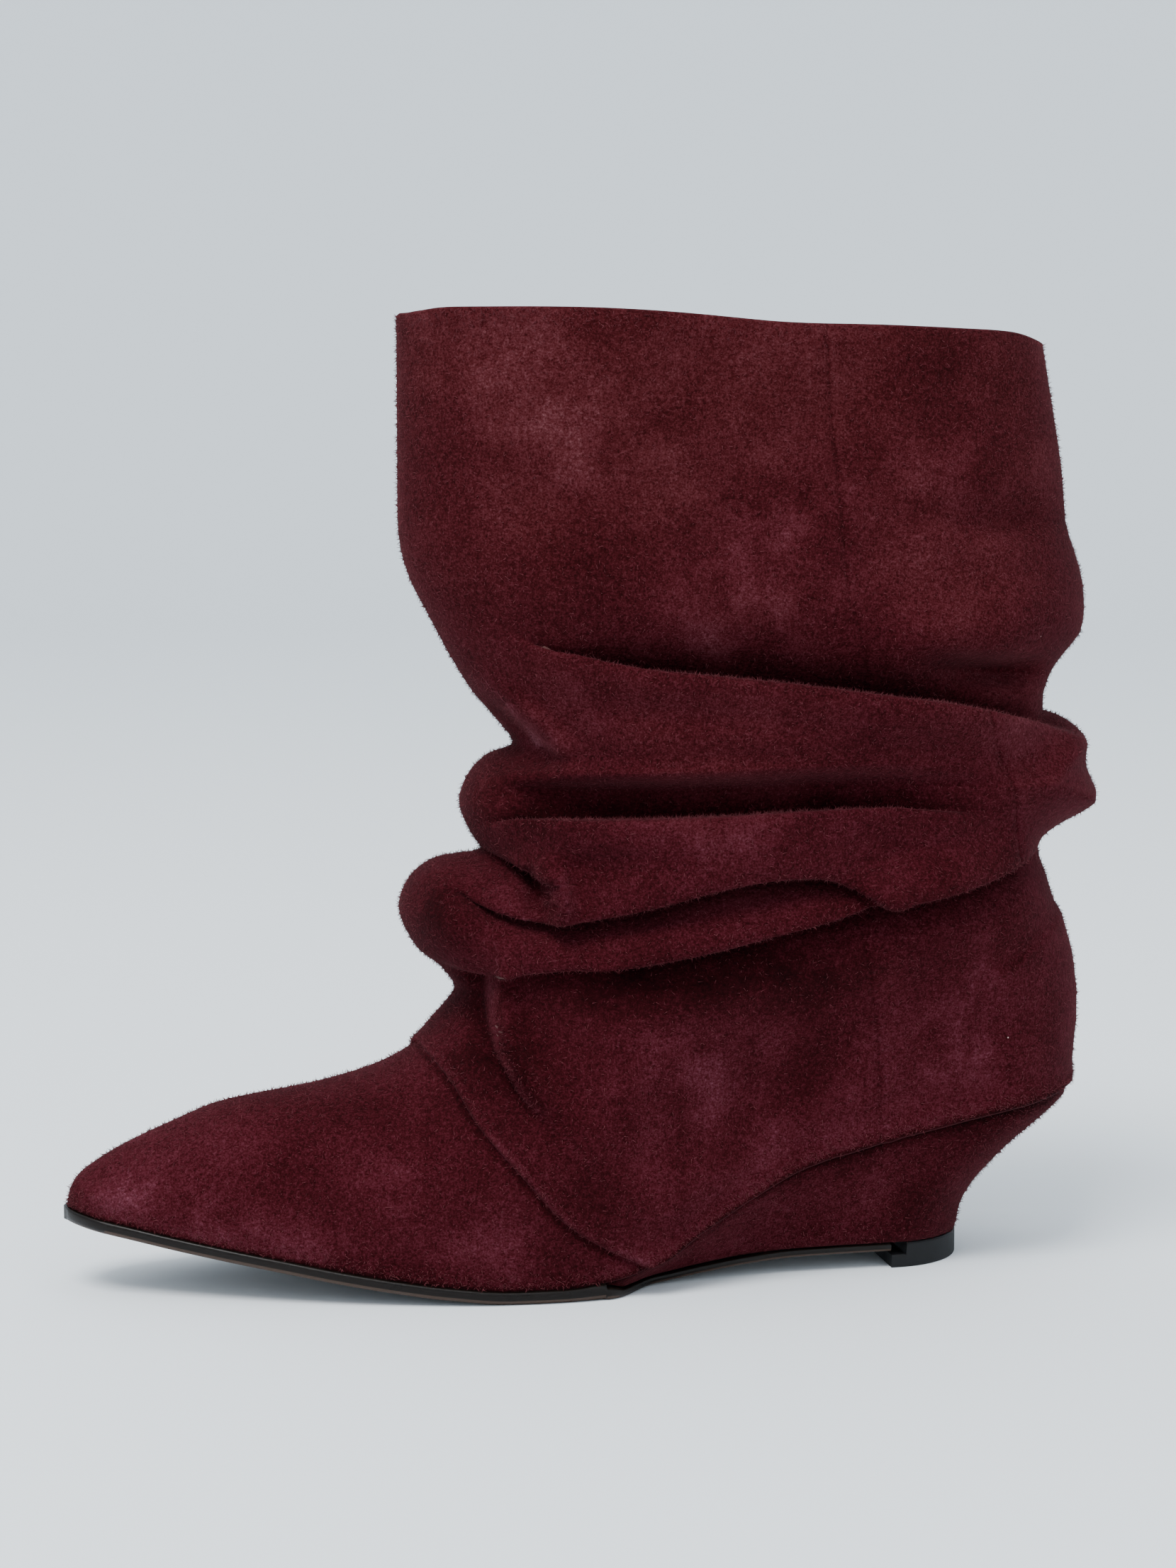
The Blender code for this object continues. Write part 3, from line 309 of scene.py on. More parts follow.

# Brushed patches where the nap lies lighter or darker, and patches of painted shade under folds and of
# painted
# highlight on ridges. Columns: side; across; height; reach along; reach up; strength
BRUSHED_AND_SHADED = (
    (-1, -0.07, 0.228, 0.130, 0.055, 0.46), (-1, 0.06, 0.160, 0.090, 0.024, 0.34),
    # the first patch is a painted highlight on the outer knuckle ridge
    (-1, -0.300, 0.566, 0.022, 0.018, 0.55), (-1, -0.380, 0.410, 0.040, 0.016, 0.40),
    (-1, 0.36, 0.235, 0.075, 0.055, 0.55), (-1, 0.40, 0.320, 0.070, 0.050, 0.45),
    (-1, -0.14, 0.275, 0.110, 0.026, 0.22), (-1, -0.62, 0.300, 0.060, 0.030, -0.20),
    (-1, -0.02, 0.155, 0.040, 0.022, -0.30),
    (-1, 0.10, 0.235, 0.030, 0.050, -0.30), (-1, -0.23, 0.110, 0.060, 0.040, -0.35),
    (-1, -0.34, 0.220, 0.035, 0.050, -0.30), (-1, 0.03, 0.790, 0.100, 0.060, 0.40),
    (-1, -0.28, 0.880, 0.120, 0.060, 0.35), (-1, -0.40, 0.960, 0.100, 0.040, 0.25),
    (-1, -0.25, 0.755, 0.090, 0.060, -0.35), (-1, 0.24, 0.800, 0.080, 0.050, 0.20),
    (-1, 0.30, 0.868, 0.070, 0.050, 0.20), (-1, 0.12, 0.580, 0.160, 0.020, 0.06),
    # the first patch is painted shade under the lowest outer fold
    (-1, 0.00, 0.328, 0.260, 0.036, -0.85), (-1, -0.40, 0.270, 0.080, 0.060, -0.75),
    (-1, -0.10, 0.560, 0.300, 0.028, -0.28), (-1, -0.38, 0.500, 0.080, 0.070, -0.55),
    (-1, -0.25, 0.590, 0.060, 0.030, 0.40), (-1, 0.42, 0.560, 0.060, 0.030, 0.30),
    (-1, -0.05, 0.475, 0.140, 0.018, 0.30), (-1, -0.286, 0.424, 0.018, 0.028, 0.34),
    (-1, -0.40, 0.455, 0.060, 0.030, 0.20), (-1, -0.90, 0.095, 0.110, 0.028, 0.42),
    (-1, -0.72, 0.060, 0.120, 0.020, 0.30), (-1, -0.56, 0.125, 0.070, 0.035, 0.35),
    (-1, -0.62, 0.190, 0.110, 0.030, -0.42), (-1, -0.44, 0.055, 0.080, 0.022, 0.35),
    (-1, -0.42, 0.130, 0.060, 0.035, -0.30), (-1, -0.66, 0.130, 0.080, 0.036, -0.34),
    (-1, -0.455, 0.395, 0.045, 0.030, -0.60), (-1, -0.42, 0.215, 0.040, 0.035, -0.45),
    (-1, -0.22, 0.305, 0.090, 0.026, -0.40), (-1, -0.03, 0.690, 0.150, 0.045, 0.32),
    (1, -0.70, 0.120, 0.140, 0.050, 0.60), (1, -0.48, 0.150, 0.080, 0.050, 0.25),
    (1, -0.10, 0.235, 0.110, 0.060, 0.45), (1, -0.06, 0.130, 0.090, 0.040, 0.35),
    (1, 0.30, 0.200, 0.090, 0.060, 0.40), (1, 0.20, 0.470, 0.140, 0.030, 0.30),
    (1, -0.20, 0.800, 0.120, 0.080, -0.25), (1, 0.30, 0.880, 0.110, 0.070, 0.20),
    (1, -0.05, 0.330, 0.080, 0.040, -0.35), (1, 0.02, 0.600, 0.120, 0.050, -0.15),
)

# Brushed patches of the wedge's cover, the same way
WEDGE_BRUSHED = (
    (-1, 0.195, 0.096, 0.050, 0.030, 0.30), (-1, 0.285, 0.072, 0.050, 0.034, -0.50),
    (-1, 0.050, 0.080, 0.050, 0.024, 0.25), (-1, 0.120, 0.050, 0.050, 0.020, -0.40),
    (-1, -0.020, 0.045, 0.040, 0.016, 0.20), (-1, 0.375, 0.138, 0.050, 0.030, -0.30),
    (1, 0.300, 0.080, 0.080, 0.034, 0.40), (1, 0.180, 0.050, 0.060, 0.026, -0.35),
    (1, 0.420, 0.110, 0.050, 0.036, -0.30),
)

# Where the painted shade of a fold's hollow and the painted highlight and worn nap of its lip lie over
# the crease, and how wide, as shares of its width
HOLLOW_AT, HOLLOW_REACH, HOLLOW_GAIN = -0.04, 0.24, 1.3
LIP_AT, LIP_REACH, FOLD_GAIN = 0.13, 0.13, 1.6

# Low humps and grooves along the seams. Columns: height; distance from the line; reach
SEAM_WELT = (0.0003, 0.0020, 0.0014)
SEAM_GROOVE = (-0.0005, 0.0, 0.0009)
VAMP_GROOVE = (-0.0004, 0.0, 0.0016)
# The quarter's hem swells over the wedge: height; reach, as a share of INSTEP_HEIGHT; share of the full
# width over which it fades; stations before the wedge's start and length in which it grows
HEM_SWELL, HEM_REACH, HEM_FADE = 0.0010, 0.08, 0.3
HEM_LEAD, HEM_GROWTH = 0.02, 0.05
# Uneven suede. Columns: height; size of the waves; seed
RUMPLES = ((0.0011, 0.036, 3.0), (0.0005, 0.013, 7.0))
HEM_RUMPLE = (0.0004, 0.007, 11.0)
# The panels' step over the vamp thins to this share, from one distance behind the seam over another
STEP_KEPT, STEP_FROM, STEP_RUN = 0.25, 0.010, 0.030
# Wall of the panels and of the vamp, how much thinner it is in a bend, and how far its edge bulges, as
# shares
PANEL_WALL, VAMP_WALL, BEND_THINNING, WALL_ROUND = 0.8, 0.55, 0.85, 0.45

# Loose fibres: length, radius, and the most on a square metre; spread of their sizes and leans
FIBRE_LENGTH, FIBRE_RADIUS, FIBRES_PER_AREA = 0.0011, 0.00010, 1000000
FIBRE_SIZES, FIBRE_TILT = (0.5, 1.3), (1.1, 1.1, 3.1)
# Shares of the fibres all over the upper, on lips and at its outline, and the outline's width
FUZZ_ALL, FUZZ_LIP, FUZZ_OUTLINE, OUTLINE_WIDTH = 0.20, 0.8, 0.9, 0.016
# Shares along the collar, the panels' edge and the hem. Columns: share; distance from the line; reach
FUZZ_COLLAR = (1.8, 0.0, 0.003)
FUZZ_SEAM = (1.1, 0.001, 0.0018)
FUZZ_HEM = (2.0, 0.0008, 0.0022)
# The vamp's fibres end this far behind the seam, where the panels cover it
COVERED = 0.0005
# The wedge's fibres: height they start at and their share; share, height and reach along its lower
# edge; share, place along X and run at its back
WEDGE_FUZZ_FROM, WEDGE_FUZZ = 0.008, 0.3
WEDGE_EDGE_FUZZ = (0.6, 0.0085, 0.002)
WEDGE_BACK_FUZZ = (0.8, 0.085, 0.03)

# Mesh: points along each side of a ring; rings in each section of the foot, folds and plain shaft;
# fine steps along a ring, a section, a drawn line and a margin's swing
SIDE_STEPS = 100
FOOT_RINGS, FOLD_RINGS, SHAFT_RINGS = 5, 10, 2
FOLDS_FROM, FOLDS_TO = 8, 27
RING_STEPS, SECTION_STEPS, LINE_STEPS, SWING_STEPS = 160, 6, 8, 40
# Sections over the throat in which the rings let go of the hem's line
HEM_FOLLOW = 5
# How much farther a line counts past its ends, and how near a point lies on a cut
PAST_END, ON_CUT = 0.002, 1e-7
# Lap of the panels over the vamp, rounding of their edge, and the edges drawn along the seam
OVERLAP = 0.006
EDGE_ROUND = 0.0016
SEAM_CUTS = (-0.003, -0.0012, 0.0, 0.0004, 0.0010, EDGE_ROUND, 0.003, OVERLAP)

# Rounding of the sole's edge below and above, as shares of its thickness, and steps of each. Steps along
# the sole, its waist, the wedge and insole, and the top piece; least step before the waist, as a station
SOLE_ROUND, SOLE_ROUND_STEPS = (0.58, 0.28), (5, 4)
SOLE_STEPS, WAIST_STEPS, PIECE_STEPS, TOP_STEPS = 120, 48, 110, 40
SOLE_STEP_LEAST = 0.003
# Rows up the wedge's cover, as shares of its height
COVER_ROWS = np.array([0.0, 0.02, 0.05, *np.linspace(0.1, 0.94, 22), 0.98, 1.0])
# Turned edges of the wedge's cover. Columns: share of its height where the turn starts; where it is
# whole; how far it turns in
COVER_TURNS = ((0.05, 0.0, 0.0006), (0.93, 1.0, 0.0005))
# Height under the hem over which the cover lies in its shade
RIM_SHADE = 0.0013
# Top piece: length and height share of its thin front lip, and the rounding of its edges
LIP_LENGTH, LIP_HEIGHT, RUBBER_ROUND = 0.0042, 0.52, 0.0004
# Length of the slope behind the lip; rounding of the insole's edge
LIP_SLOPE = 0.0003
INSOLE_ROUND = 0.0006

# Noise of the nap, coarse to fine. Columns: name; scale; detail; roughness; weight in the tone
NAP_LAYERS = (
    ("clouds", 24.0, 2.0, 0.5, 0.42), ("blotches", 85.0, 3.0, 0.6, 0.24),
    ("grain", 800.0, 2.0, 0.6, 0.46), ("speckle", 1900.0, 2.0, 0.7, 0.85),
)
# Tone of plain nap, and the weight of brushed patches, painted shade and painted highlight among them
NAP_TONE, BRUSHED_WEIGHT = 0.45, 0.42
# How the blotches break up patches and lines. Columns: level of the blotches; share that is left
NAP_BREAKS = {"torn": ((0.36, 0.15), (0.62, 1.0)), "frayed": ((0.36, 0.6), (0.62, 1.0))}
# What lightens or darkens the upper along lines. Columns: name; value read; its distance from the
# line; reach; weight; how the nap breaks it up
NAP_LINES = (
    ("groove", "side_seam", 0.0, 0.0008, -0.06, "even"),
    ("fold", "side_seam", 0.0018, 0.0016, 0.03, "even"),
    # painted highlight and paler nap along the panels' raised edge
    ("lip", "vamp_seam", 0.0010, 0.0018, 0.18, "torn"),
    # painted shadow on the vamp under the panels' edge
    ("under", "vamp_seam", -0.0008, 0.0014, -0.16, "even"),
    # painted shadow along the upper's hem, over the wedge
    ("rim", "hem_gap", 0.0, 0.0012, -0.25, "even"),
    # worn nap and painted highlight along ridges too narrow for the mesh
    ("worn_highlight", "wrinkle", 0.0, 0.0014, 0.26, "frayed"),
)
# The same for whole areas, on the upper and on the wedge's cover: painted shade in the folds' hollows,
# painted highlight and worn nap on their lips, painted shadow on the cover under the hem. Columns: value
# read; weight
UPPER_AREAS = (("hollow", -0.22), ("lip", 0.08))
COVER_AREAS = (("shadow_under_rim", -0.60),)
COVER_TONE = -0.05
# Colours of the suede, dark to light. Columns: tone; red, green and blue
SUEDE_TONES = (
    (0.0, (0.004, 0.0003, 0.0005)), (0.28, (0.016, 0.0012, 0.0017)), (0.46, (0.036, 0.0038, 0.0052)),
    (0.64, (0.062, 0.0106, 0.0134)), (0.82, (0.096, 0.0265, 0.0315)), (1.0, (0.155, 0.058, 0.064)),
)
# Tint from cool at the foot to warm at the collar, and how height and clouds shift it
TINTS = ((0.0, (1.0, 0.92, 1.14)), (1.0, (1.02, 1.10, 1.06)))
TINT_RISE, TINT_CLOUDS, TINT_START = 7.0, 1.6, -1.5
# Pale specks: how close together, their size and colour
SPECK_SCALE, SPECK_SIZE, SPECK_COLOR = 85.0, 0.022, (0.50, 0.36, 0.32)
# Bumps of the nap. Columns: layer; depth; strength
NAP_BUMPS = (("speckle", 0.0004, 0.6), ("grain", 0.0009, 0.35), ("blotches", 0.0012, 0.2))
# Height of worn lines over the seams' grooves; depth and strength of that bump
WORN_RISE, WORN_BUMP = 1.5, (0.0004, 0.55)
# Loose fibres: scale of their patches, and the two colours
FIBRE_NOISE, FIBRE_DARK, FIBRE_LIGHT = 300.0, (0.040, 0.004, 0.006), (0.130, 0.034, 0.040)
# Smooth leather and rubber: scale, detail and roughness of stains and pores; depth and strength of pores
STAIN_NOISE, PORE_NOISE, PORE_BUMP = (60.0, 4.0, 0.6), (2200.0, 2.0, 0.5), (0.0002, 0.25)
# How stains change the roughness. Columns: level of the stains; change
STAIN_ROUGHNESS = ((0.3, -0.06), (0.7, 0.08))

# Lights. Columns: name; place; width and height; power
LIGHTS = (("key", (-0.7, -0.8, 2.0), (1.1, 0.9), 50), ("fill", (1.3, -1.8, 1.0), (1.5, 1.5), 5))
LIGHT_AIM = (0.0, 0.0, 0.12)
# Surround, floor and camera
SURROUND_COLOR, SURROUND_STRENGTH = (0.90, 0.95, 1.0, 1), 1.38
FLOOR_COLOR = (0.85, 0.89, 0.92, 1)
CAMERA_PLACE, CAMERA_AIM, CAMERA_LENS = (-0.164, -0.841, 0.230), (0.0, 0.0, 0.128), 76


def through(places, values, at):
    """A smooth curve through the given values that never swings past them."""
    places = np.asarray(places, float)
    values = np.asarray(values, float)
    at = np.asarray(at, float)
    step = np.diff(places)
    slope = np.diff(values) / step
    lean = np.zeros(len(values))
    lean[0], lean[-1] = slope[0], slope[-1]
    before, after = slope[:-1], slope[1:]
    same = before * after > 0
    lean[1:-1][same] = 2 * (before * after)[same] / (before + after)[same]
    k = np.clip(np.searchsorted(places, at, side="right") - 1, 0, len(step) - 1)
    t = np.clip((at - places[k]) / step[k], 0, 1)
    rise = values[k + 1] - values[k]
    start = t * (1 - t) ** 2 * step[k] * lean[k]
    end = t * t * (t - 1) * step[k] * lean[k + 1]
    return values[k] + t * t * (3 - 2 * t) * rise + start + end


def column(table, index, at):
    """Reads one column of a table at any place along its first column."""
    return through([row[0] for row in table], [row[index] for row in table], at)


def ease(share):
    """Smooth step from 0 to 1."""
    t = np.clip(share, 0, 1)
    return t * t * (3 - 2 * t)


def roundness(share):
    """Quarter of an ellipse: 0 at an end, 1 from a whole rounding length on."""
    return np.sqrt(np.clip(1 - (1 - np.clip(share, 0, 1)) ** 2, 0, 1))


def bell(value, width):
    """1 at 0, fading out smoothly over the width."""
    return np.exp(-(value / width) ** 2)


def hump(gap, form):
    """Height of a soft hump or groove at a distance from its line."""
    height, place, reach = form
    return height * bell(gap - place, reach)


def end_spaced(first, last, steps):
    """Places between two stations, closer together towards both ends."""
    return first + (last - first) * (1 - np.cos(np.pi * np.arange(steps + 1) / steps)) / 2


def x_at(station):
    """Place along X of a station, 0 at the last's toe and 1 at its heel."""
    return (np.asarray(station, float) - ORIGIN_SHARE) * LENGTH


def station_at(x):
    """Station of a place along X."""
    return np.asarray(x, float) / LENGTH + ORIGIN_SHARE


def underside(x):
    """Height of the outsole's lower face."""
    station = station_at(x)
    waist_rise = TOP_PIECE_HEIGHT - WAIST_THICKNESS
    return column(UNDERSIDE, 1, station) * TOE_SPRING + column(UNDERSIDE, 2, station) * waist_rise


def bed(x):
    """Height of the last's bottom, on which the upper's rim and the insole lie."""
    return underside(x) + SOLE_THICKNESS + GAP + column(SHANK, 1, station_at(x)) * HEEL_HEIGHT


def hem(x):
    """Height of the upper's lower edge, where it laps the wedge."""
    return bed(x) + column(HEM_RISE, 1, station_at(x)) * HEEL_HEIGHT


def feather(x, side):
    """Signed half width of the last's bottom on one side."""
    station = station_at(x)
    width = column(FEATHER, 1 if side < 0 else 2, station)
    tip = roundness(station / TOE_ROUND_SHARE) * roundness((1 - station) / HEEL_ROUND_SHARE)
    return (side * width * tip + column(FEATHER, 3, station)) * BALL_WIDTH


def outline(x, side, margin):
    """The last's bottom outline moved out (or in, below zero) by an even margin, on one side."""
    turn = np.linspace(-1, 1, SWING_STEPS + 1)
    near = x + abs(margin) * turn
    centre = column(FEATHER, 3, station_at(near)) * BALL_WIDTH
    reach = np.abs(feather(near, side) - centre)
    swing = abs(margin) * np.sqrt(1 - turn ** 2)
    if margin < 0:
        half = np.min(reach - swing)
    else:
        station = station_at(near)
        half = np.max(np.where((station >= 0) & (station <= 1), reach + swing, 0))
    return float(centre[SWING_STEPS // 2] + side * max(half, 0))


def shaft_x(across):
    """Place along X of a share of SHAFT_DEPTH from the shaft's axis."""
    return x_at(SHAFT_AXIS_SHARE) + np.asarray(across, float) * SHAFT_DEPTH


def side_line(points):
    """A smooth line in the side view through (across, height, ...) points, with any other columns."""
    rows = np.array(points, float)
    count = np.arange(len(rows))
    fine = np.linspace(0, len(rows) - 1, LINE_STEPS * (len(rows) - 1) + 1)
    line = np.stack([through(count, rows[:, k], fine) for k in range(rows.shape[1])], axis=1)
    line[:, 0] = shaft_x(line[:, 0])
    line[:, 1] *= SHAFT_HEIGHT
    return line


def nearest(line, x, z):
    """Distance of points to a line, + over it and - under it, and the place along it."""
    start, run = line[:-1, :2], np.diff(line[:, :2], axis=0)
    size = np.maximum((run ** 2).sum(1), 1e-18)
    dx, dz = x[:, None] - start[:, 0], z[:, None] - start[:, 1]
    share = np.clip((dx * run[:, 0] + dz * run[:, 1]) / size, 0, 1)
    away = np.hypot(dx - share * run[:, 0], dz - share * run[:, 1])
    k = away.argmin(axis=1)
    row = np.arange(len(x))
    over = np.where(run[k, 0] * dz[row, k] - run[k, 1] * dx[row, k] < 0, -1.0, 1.0)
    return away[row, k] * over, k + share[row, k]


def section_lines():
    """Front and back point of every section, from the feather line to the collar."""
    rows = []
    for front, front_height, back, back_height in FOOT_SECTIONS:
        front_x, back_x = x_at(front), x_at(back)
        rows.append((front_x, hem(front_x) + front_height * INSTEP_HEIGHT,
                     back_x, hem(back_x) + back_height * INSTEP_HEIGHT))
    for front, front_height, back, back_height in SHAFT_SECTIONS:
        drop = COLLAR_DROP * ease((back_height - COLLAR_TURN) / (1 - COLLAR_TURN))
        rows.append((shaft_x(front), front_height * SHAFT_HEIGHT,
                     shaft_x(back), back_height * SHAFT_HEIGHT - drop))
    return np.array(rows)


SECTIONS = section_lines()
LAST_SECTION = len(SECTIONS) - 1
THROAT = len(FOOT_SECTIONS) - 1


def section(at):
    """Front and back point of a section, at any count from the feather line."""
    return [through(np.arange(LAST_SECTION + 1), SECTIONS[:, k], at) for k in range(4)]


def ring_places(rings, share):
    """Side view of the upper's rings: x and z at shares of the way from the front to the back line."""
    front_x, front_z, back_x, back_z = (value[:, None] for value in section(rings))
    x = front_x + (back_x - front_x) * share
    straight = hem(front_x) + (hem(back_x) - hem(front_x)) * share
    follow = 1 - ease((rings[:, None] - THROAT) / HEM_FOLLOW)
    return x, front_z + (back_z - front_z) * share + follow * (hem(x) - straight)


def half_width(x, z, side):
    """Half width of the upper without its folds, from its side outline and the last."""
    fine = np.linspace(0, LAST_SECTION, SECTION_STEPS * LAST_SECTION + 1)
    front_x, front_z, back_x, back_z = section(fine)
    front_gap, front_at = nearest(np.c_[front_x, front_z], x, z)
    back_gap, back_at = nearest(np.c_[back_x, back_z], x, z)
    front_round = column(ROUNDING, 1, front_at / SECTION_STEPS) * SHAFT_DEPTH
    back_round = column(ROUNDING, 2, back_at / SECTION_STEPS) * SHAFT_DEPTH
    station = station_at(x)
    which = 1 if side < 0 else 2
    foot = column(FEATHER, which, station) * BALL_WIDTH
    shaft = column(SHAFT_WIDTHS, which, z / SHAFT_HEIGHT) * SHAFT_WIDTH
    low, high = SIDE_BLEND
    over_bed = (z - hem(x)) / INSTEP_HEIGHT
    width = foot + (shaft - foot) * ease((over_bed - low) / (high - low))
    width = width * roundness(np.abs(front_gap) / front_round) * roundness(np.abs(back_gap) / back_round)
    rim = np.abs(feather(x, side) - column(FEATHER, 3, station) * BALL_WIDTH)
    return rim + (width - rim) * ease(over_bed / RIM_BLEND)


def blobs(rows, x, z, side):
    """Sum of soft round patches of a table at points of one side."""
    total = np.zeros_like(x)
    for patch_side, across, height, along, up, share in rows:
        if patch_side == side:
            total += share * np.exp(-((x - shaft_x(across)) / (along * SHAFT_DEPTH)) ** 2
                                    - ((z / SHAFT_HEIGHT - height) / up) ** 2)
    return total


def fold_moves(x, z, side):
    """How far the folds push points of the side view out, and roll them along x and z."""
    out, roll_x, roll_z = np.zeros_like(x), np.zeros_like(x), np.zeros_like(x)
    hollow, lip = np.zeros_like(x), np.zeros_like(x)
    for fold_side, profile, lobe_side, over_width, under_width, crease in FOLDS:
        if fold_side != side:
            continue
        if crease[0][0] > crease[-1][0]:
            crease = crease[::-1]
        line = side_line(crease)
        offset, at = nearest(line, x, z)
        place = offset / (np.where(offset > 0, over_width, under_width) * FOLD_WIDTH)
        turned = place * lobe_side
        width = np.where(turned * lobe_side > 0, over_width, under_width) * FOLD_WIDTH
        count = np.arange(len(line))
        valley = np.interp(at, count, line[:, 2])
        lobe = np.interp(at, count, line[:, 3])
        strength = np.clip(FOLD_GAIN * (valley + lobe), 0, 1)
        out += FOLD_DEPTH * (valley * column(profile, 2, turned) + lobe * column(profile, 3, turned))
        # painted shade: the suede darkens in the fold's hollow; the same mask thins the wall there
        hollow += np.clip(HOLLOW_GAIN * valley, 0, 1) * bell(turned - HOLLOW_AT, HOLLOW_REACH)
        # painted highlight with paler worn nap on the fold's lip; the same mask thickens the fuzz and thins
        # the wall
        lip = np.maximum(lip, strength * bell(turned - LIP_AT, LIP_REACH))
        rolled = lobe_side * (column(profile, 1, turned) - np.clip(turned, -1, 1)) * width * strength
        way = np.gradient(line[:, :2], axis=0)
        way /= np.linalg.norm(way, axis=1, keepdims=True)
        roll_x += -np.interp(at, count, way[:, 1]) * rolled
        roll_z += np.interp(at, count, way[:, 0]) * rolled
    out += FOLD_DEPTH * blobs(PUFFS, x, z, side)
    return out, roll_x, roll_z, np.clip(hollow, 0, 1), lip


def line_gap(lines, x, z, side):
    """Signed distance to the nearest line of a table."""
    best = np.full_like(x, 1.0)
    for points in lines[side]:
        line = side_line(points)
        gap, at = nearest(line, x, z)
        past_end = (at <= 0) | (at >= len(line) - 1)
        gap = np.where(past_end, np.sign(gap) * (np.abs(gap) + PAST_END), gap)
        best = np.where(np.abs(gap) < np.abs(best), gap, best)
    return best


def seam_gap(x, z, side):
    """Signed distance to the side seam."""
    return line_gap(SIDE_SEAMS, x, z, side)


def rumple(points, waves):
    """Small uneven waves of hand-worked suede, from smooth noise."""
    height, size, seed = waves
    return height * np.array([noise.noise(Vector(point) / size + Vector((seed, 0, 0))) for point in points])


class Net:
    """Points of the upper's side view and the faces between them, before they get their width."""

    def __init__(self, x, z, side, faces):
        self.x, self.z, self.side = np.array(x), np.array(z), np.array(side)
        self.faces = faces

    def halves(self):
        """Each side and which points it has; those on the middle line count as outer."""
        return ((-1, self.side <= 0), (1, self.side > 0))

    def measured(self, measure):
        """Runs a function of (x, z, side) for each side."""
        result = np.zeros(len(self.x))
        for side, mine in self.halves():
            result[mine] = measure(self.x[mine], self.z[mine], side)
        return result

    def cut(self, measure, level):
        """Adds an edge along the line where a measure has the given level."""
        value = self.measured(measure) - level
        value[np.abs(value) < ON_CUT] = 0
        made, faces, added = {}, [], []
        for face in self.faces:
            signs = [value[k] for k in face]
            if min(signs) >= 0 or max(signs) <= 0:
                faces.append(face)
                continue
            over, under = [], []
            for a, b in zip(face, face[1:] + face[:1]):
                if value[a] >= 0:
                    over.append(a)
                if value[a] <= 0:
                    under.append(a)
                if value[a] * value[b] < 0:
                    key = (min(a, b), max(a, b))
                    if key not in made:
                        made[key] = len(self.x) + len(added)
                        added.append((*key, value[key[0]] / (value[key[0]] - value[key[1]])))
                    over.append(made[key])
                    under.append(made[key])
            faces += [part for part in (over, under) if len(part) > 2]
        if added:
            a, b = (np.array([row[k] for row in added]) for k in (0, 1))
            share = np.array([row[2] for row in added])
            side = np.where(self.side[a] != 0, self.side[a], self.side[b])
            self.x = np.concatenate([self.x, self.x[a] + share * (self.x[b] - self.x[a])])
            self.z = np.concatenate([self.z, self.z[a] + share * (self.z[b] - self.z[a])])
            self.side = np.concatenate([self.side, side])
        self.faces = faces

    def part(self, keep):
        """The faces whose middle is kept, as a net of their own."""
        faces = [face for face in self.faces if keep[face].mean() > 0]
        used = sorted({k for face in faces for k in face})
        place = {k: i for i, k in enumerate(used)}
        return Net(self.x[used], self.z[used], self.side[used],
                   [[place[k] for k in face] for face in faces])


def seam_distance(x, z, side):
    """Signed distance to the vamp's seam, + on the shaft's side."""
    return nearest(side_line(VAMP_SEAM[side]), x, z)[0]


def ring_list():
    """Counts of all rings: dense where the folds are."""
    parts = ((0, FOLDS_FROM, FOOT_RINGS), (FOLDS_FROM, FOLDS_TO, FOLD_RINGS),
             (FOLDS_TO, LAST_SECTION, SHAFT_RINGS))
    rings = [low + k / each for low, high, each in parts for k in range((high - low) * each)]
    return np.array(rings + [LAST_SECTION])


def upper_net():
    """The whole upper as rings of evenly spaced points."""
    rings = ring_list()
    sides = []
    for side in (-1, 1):
        fine = np.tile(end_spaced(0.0, 1.0, RING_STEPS), (len(rings), 1))
        x, z = ring_places(rings, fine)
        width = half_width(x.ravel(), z.ravel(), side).reshape(x.shape)
        run = np.sqrt(np.diff(x, axis=1) ** 2 + np.diff(z, axis=1) ** 2 + np.diff(width, axis=1) ** 2)
        gone = np.concatenate([np.zeros((len(rings), 1)), np.cumsum(run, axis=1)], axis=1)
        share = np.array([np.interp(np.linspace(0, row[-1], SIDE_STEPS + 1), row, fine[0])
                          for row in gone])
        sides.append(ring_places(rings, share))
    (outer_x, outer_z), (inner_x, inner_z) = sides
    x = np.concatenate([outer_x, inner_x[:, -2:0:-1]], axis=1)
    z = np.concatenate([outer_z, inner_z[:, -2:0:-1]], axis=1)
    side = np.ones(x.shape)
    side[:, :SIDE_STEPS + 1] = -1
    side[:, 0] = side[:, SIDE_STEPS] = 0
    count = 2 * SIDE_STEPS
    faces = []
    for i in range(len(rings) - 1):
        for j in range(count):
            k = (j + 1) % count
            faces.append([i * count + j, i * count + k, (i + 1) * count + k, (i + 1) * count + j])
    return Net(x.ravel(), z.ravel(), side.ravel(), faces)


def collar_rise(x, z):
    """How the collar's folded edge leaves its straight line: soft corners and a slow wave."""
    across = (x - shaft_x(-0.5)) / SHAFT_DEPTH
    rise = sum(hump(across, wave) for wave in COLLAR_WAVES)
    return rise * ease((z / SHAFT_HEIGHT - COLLAR_WAVE_FROM) / (1 - COLLAR_WAVE_FROM))


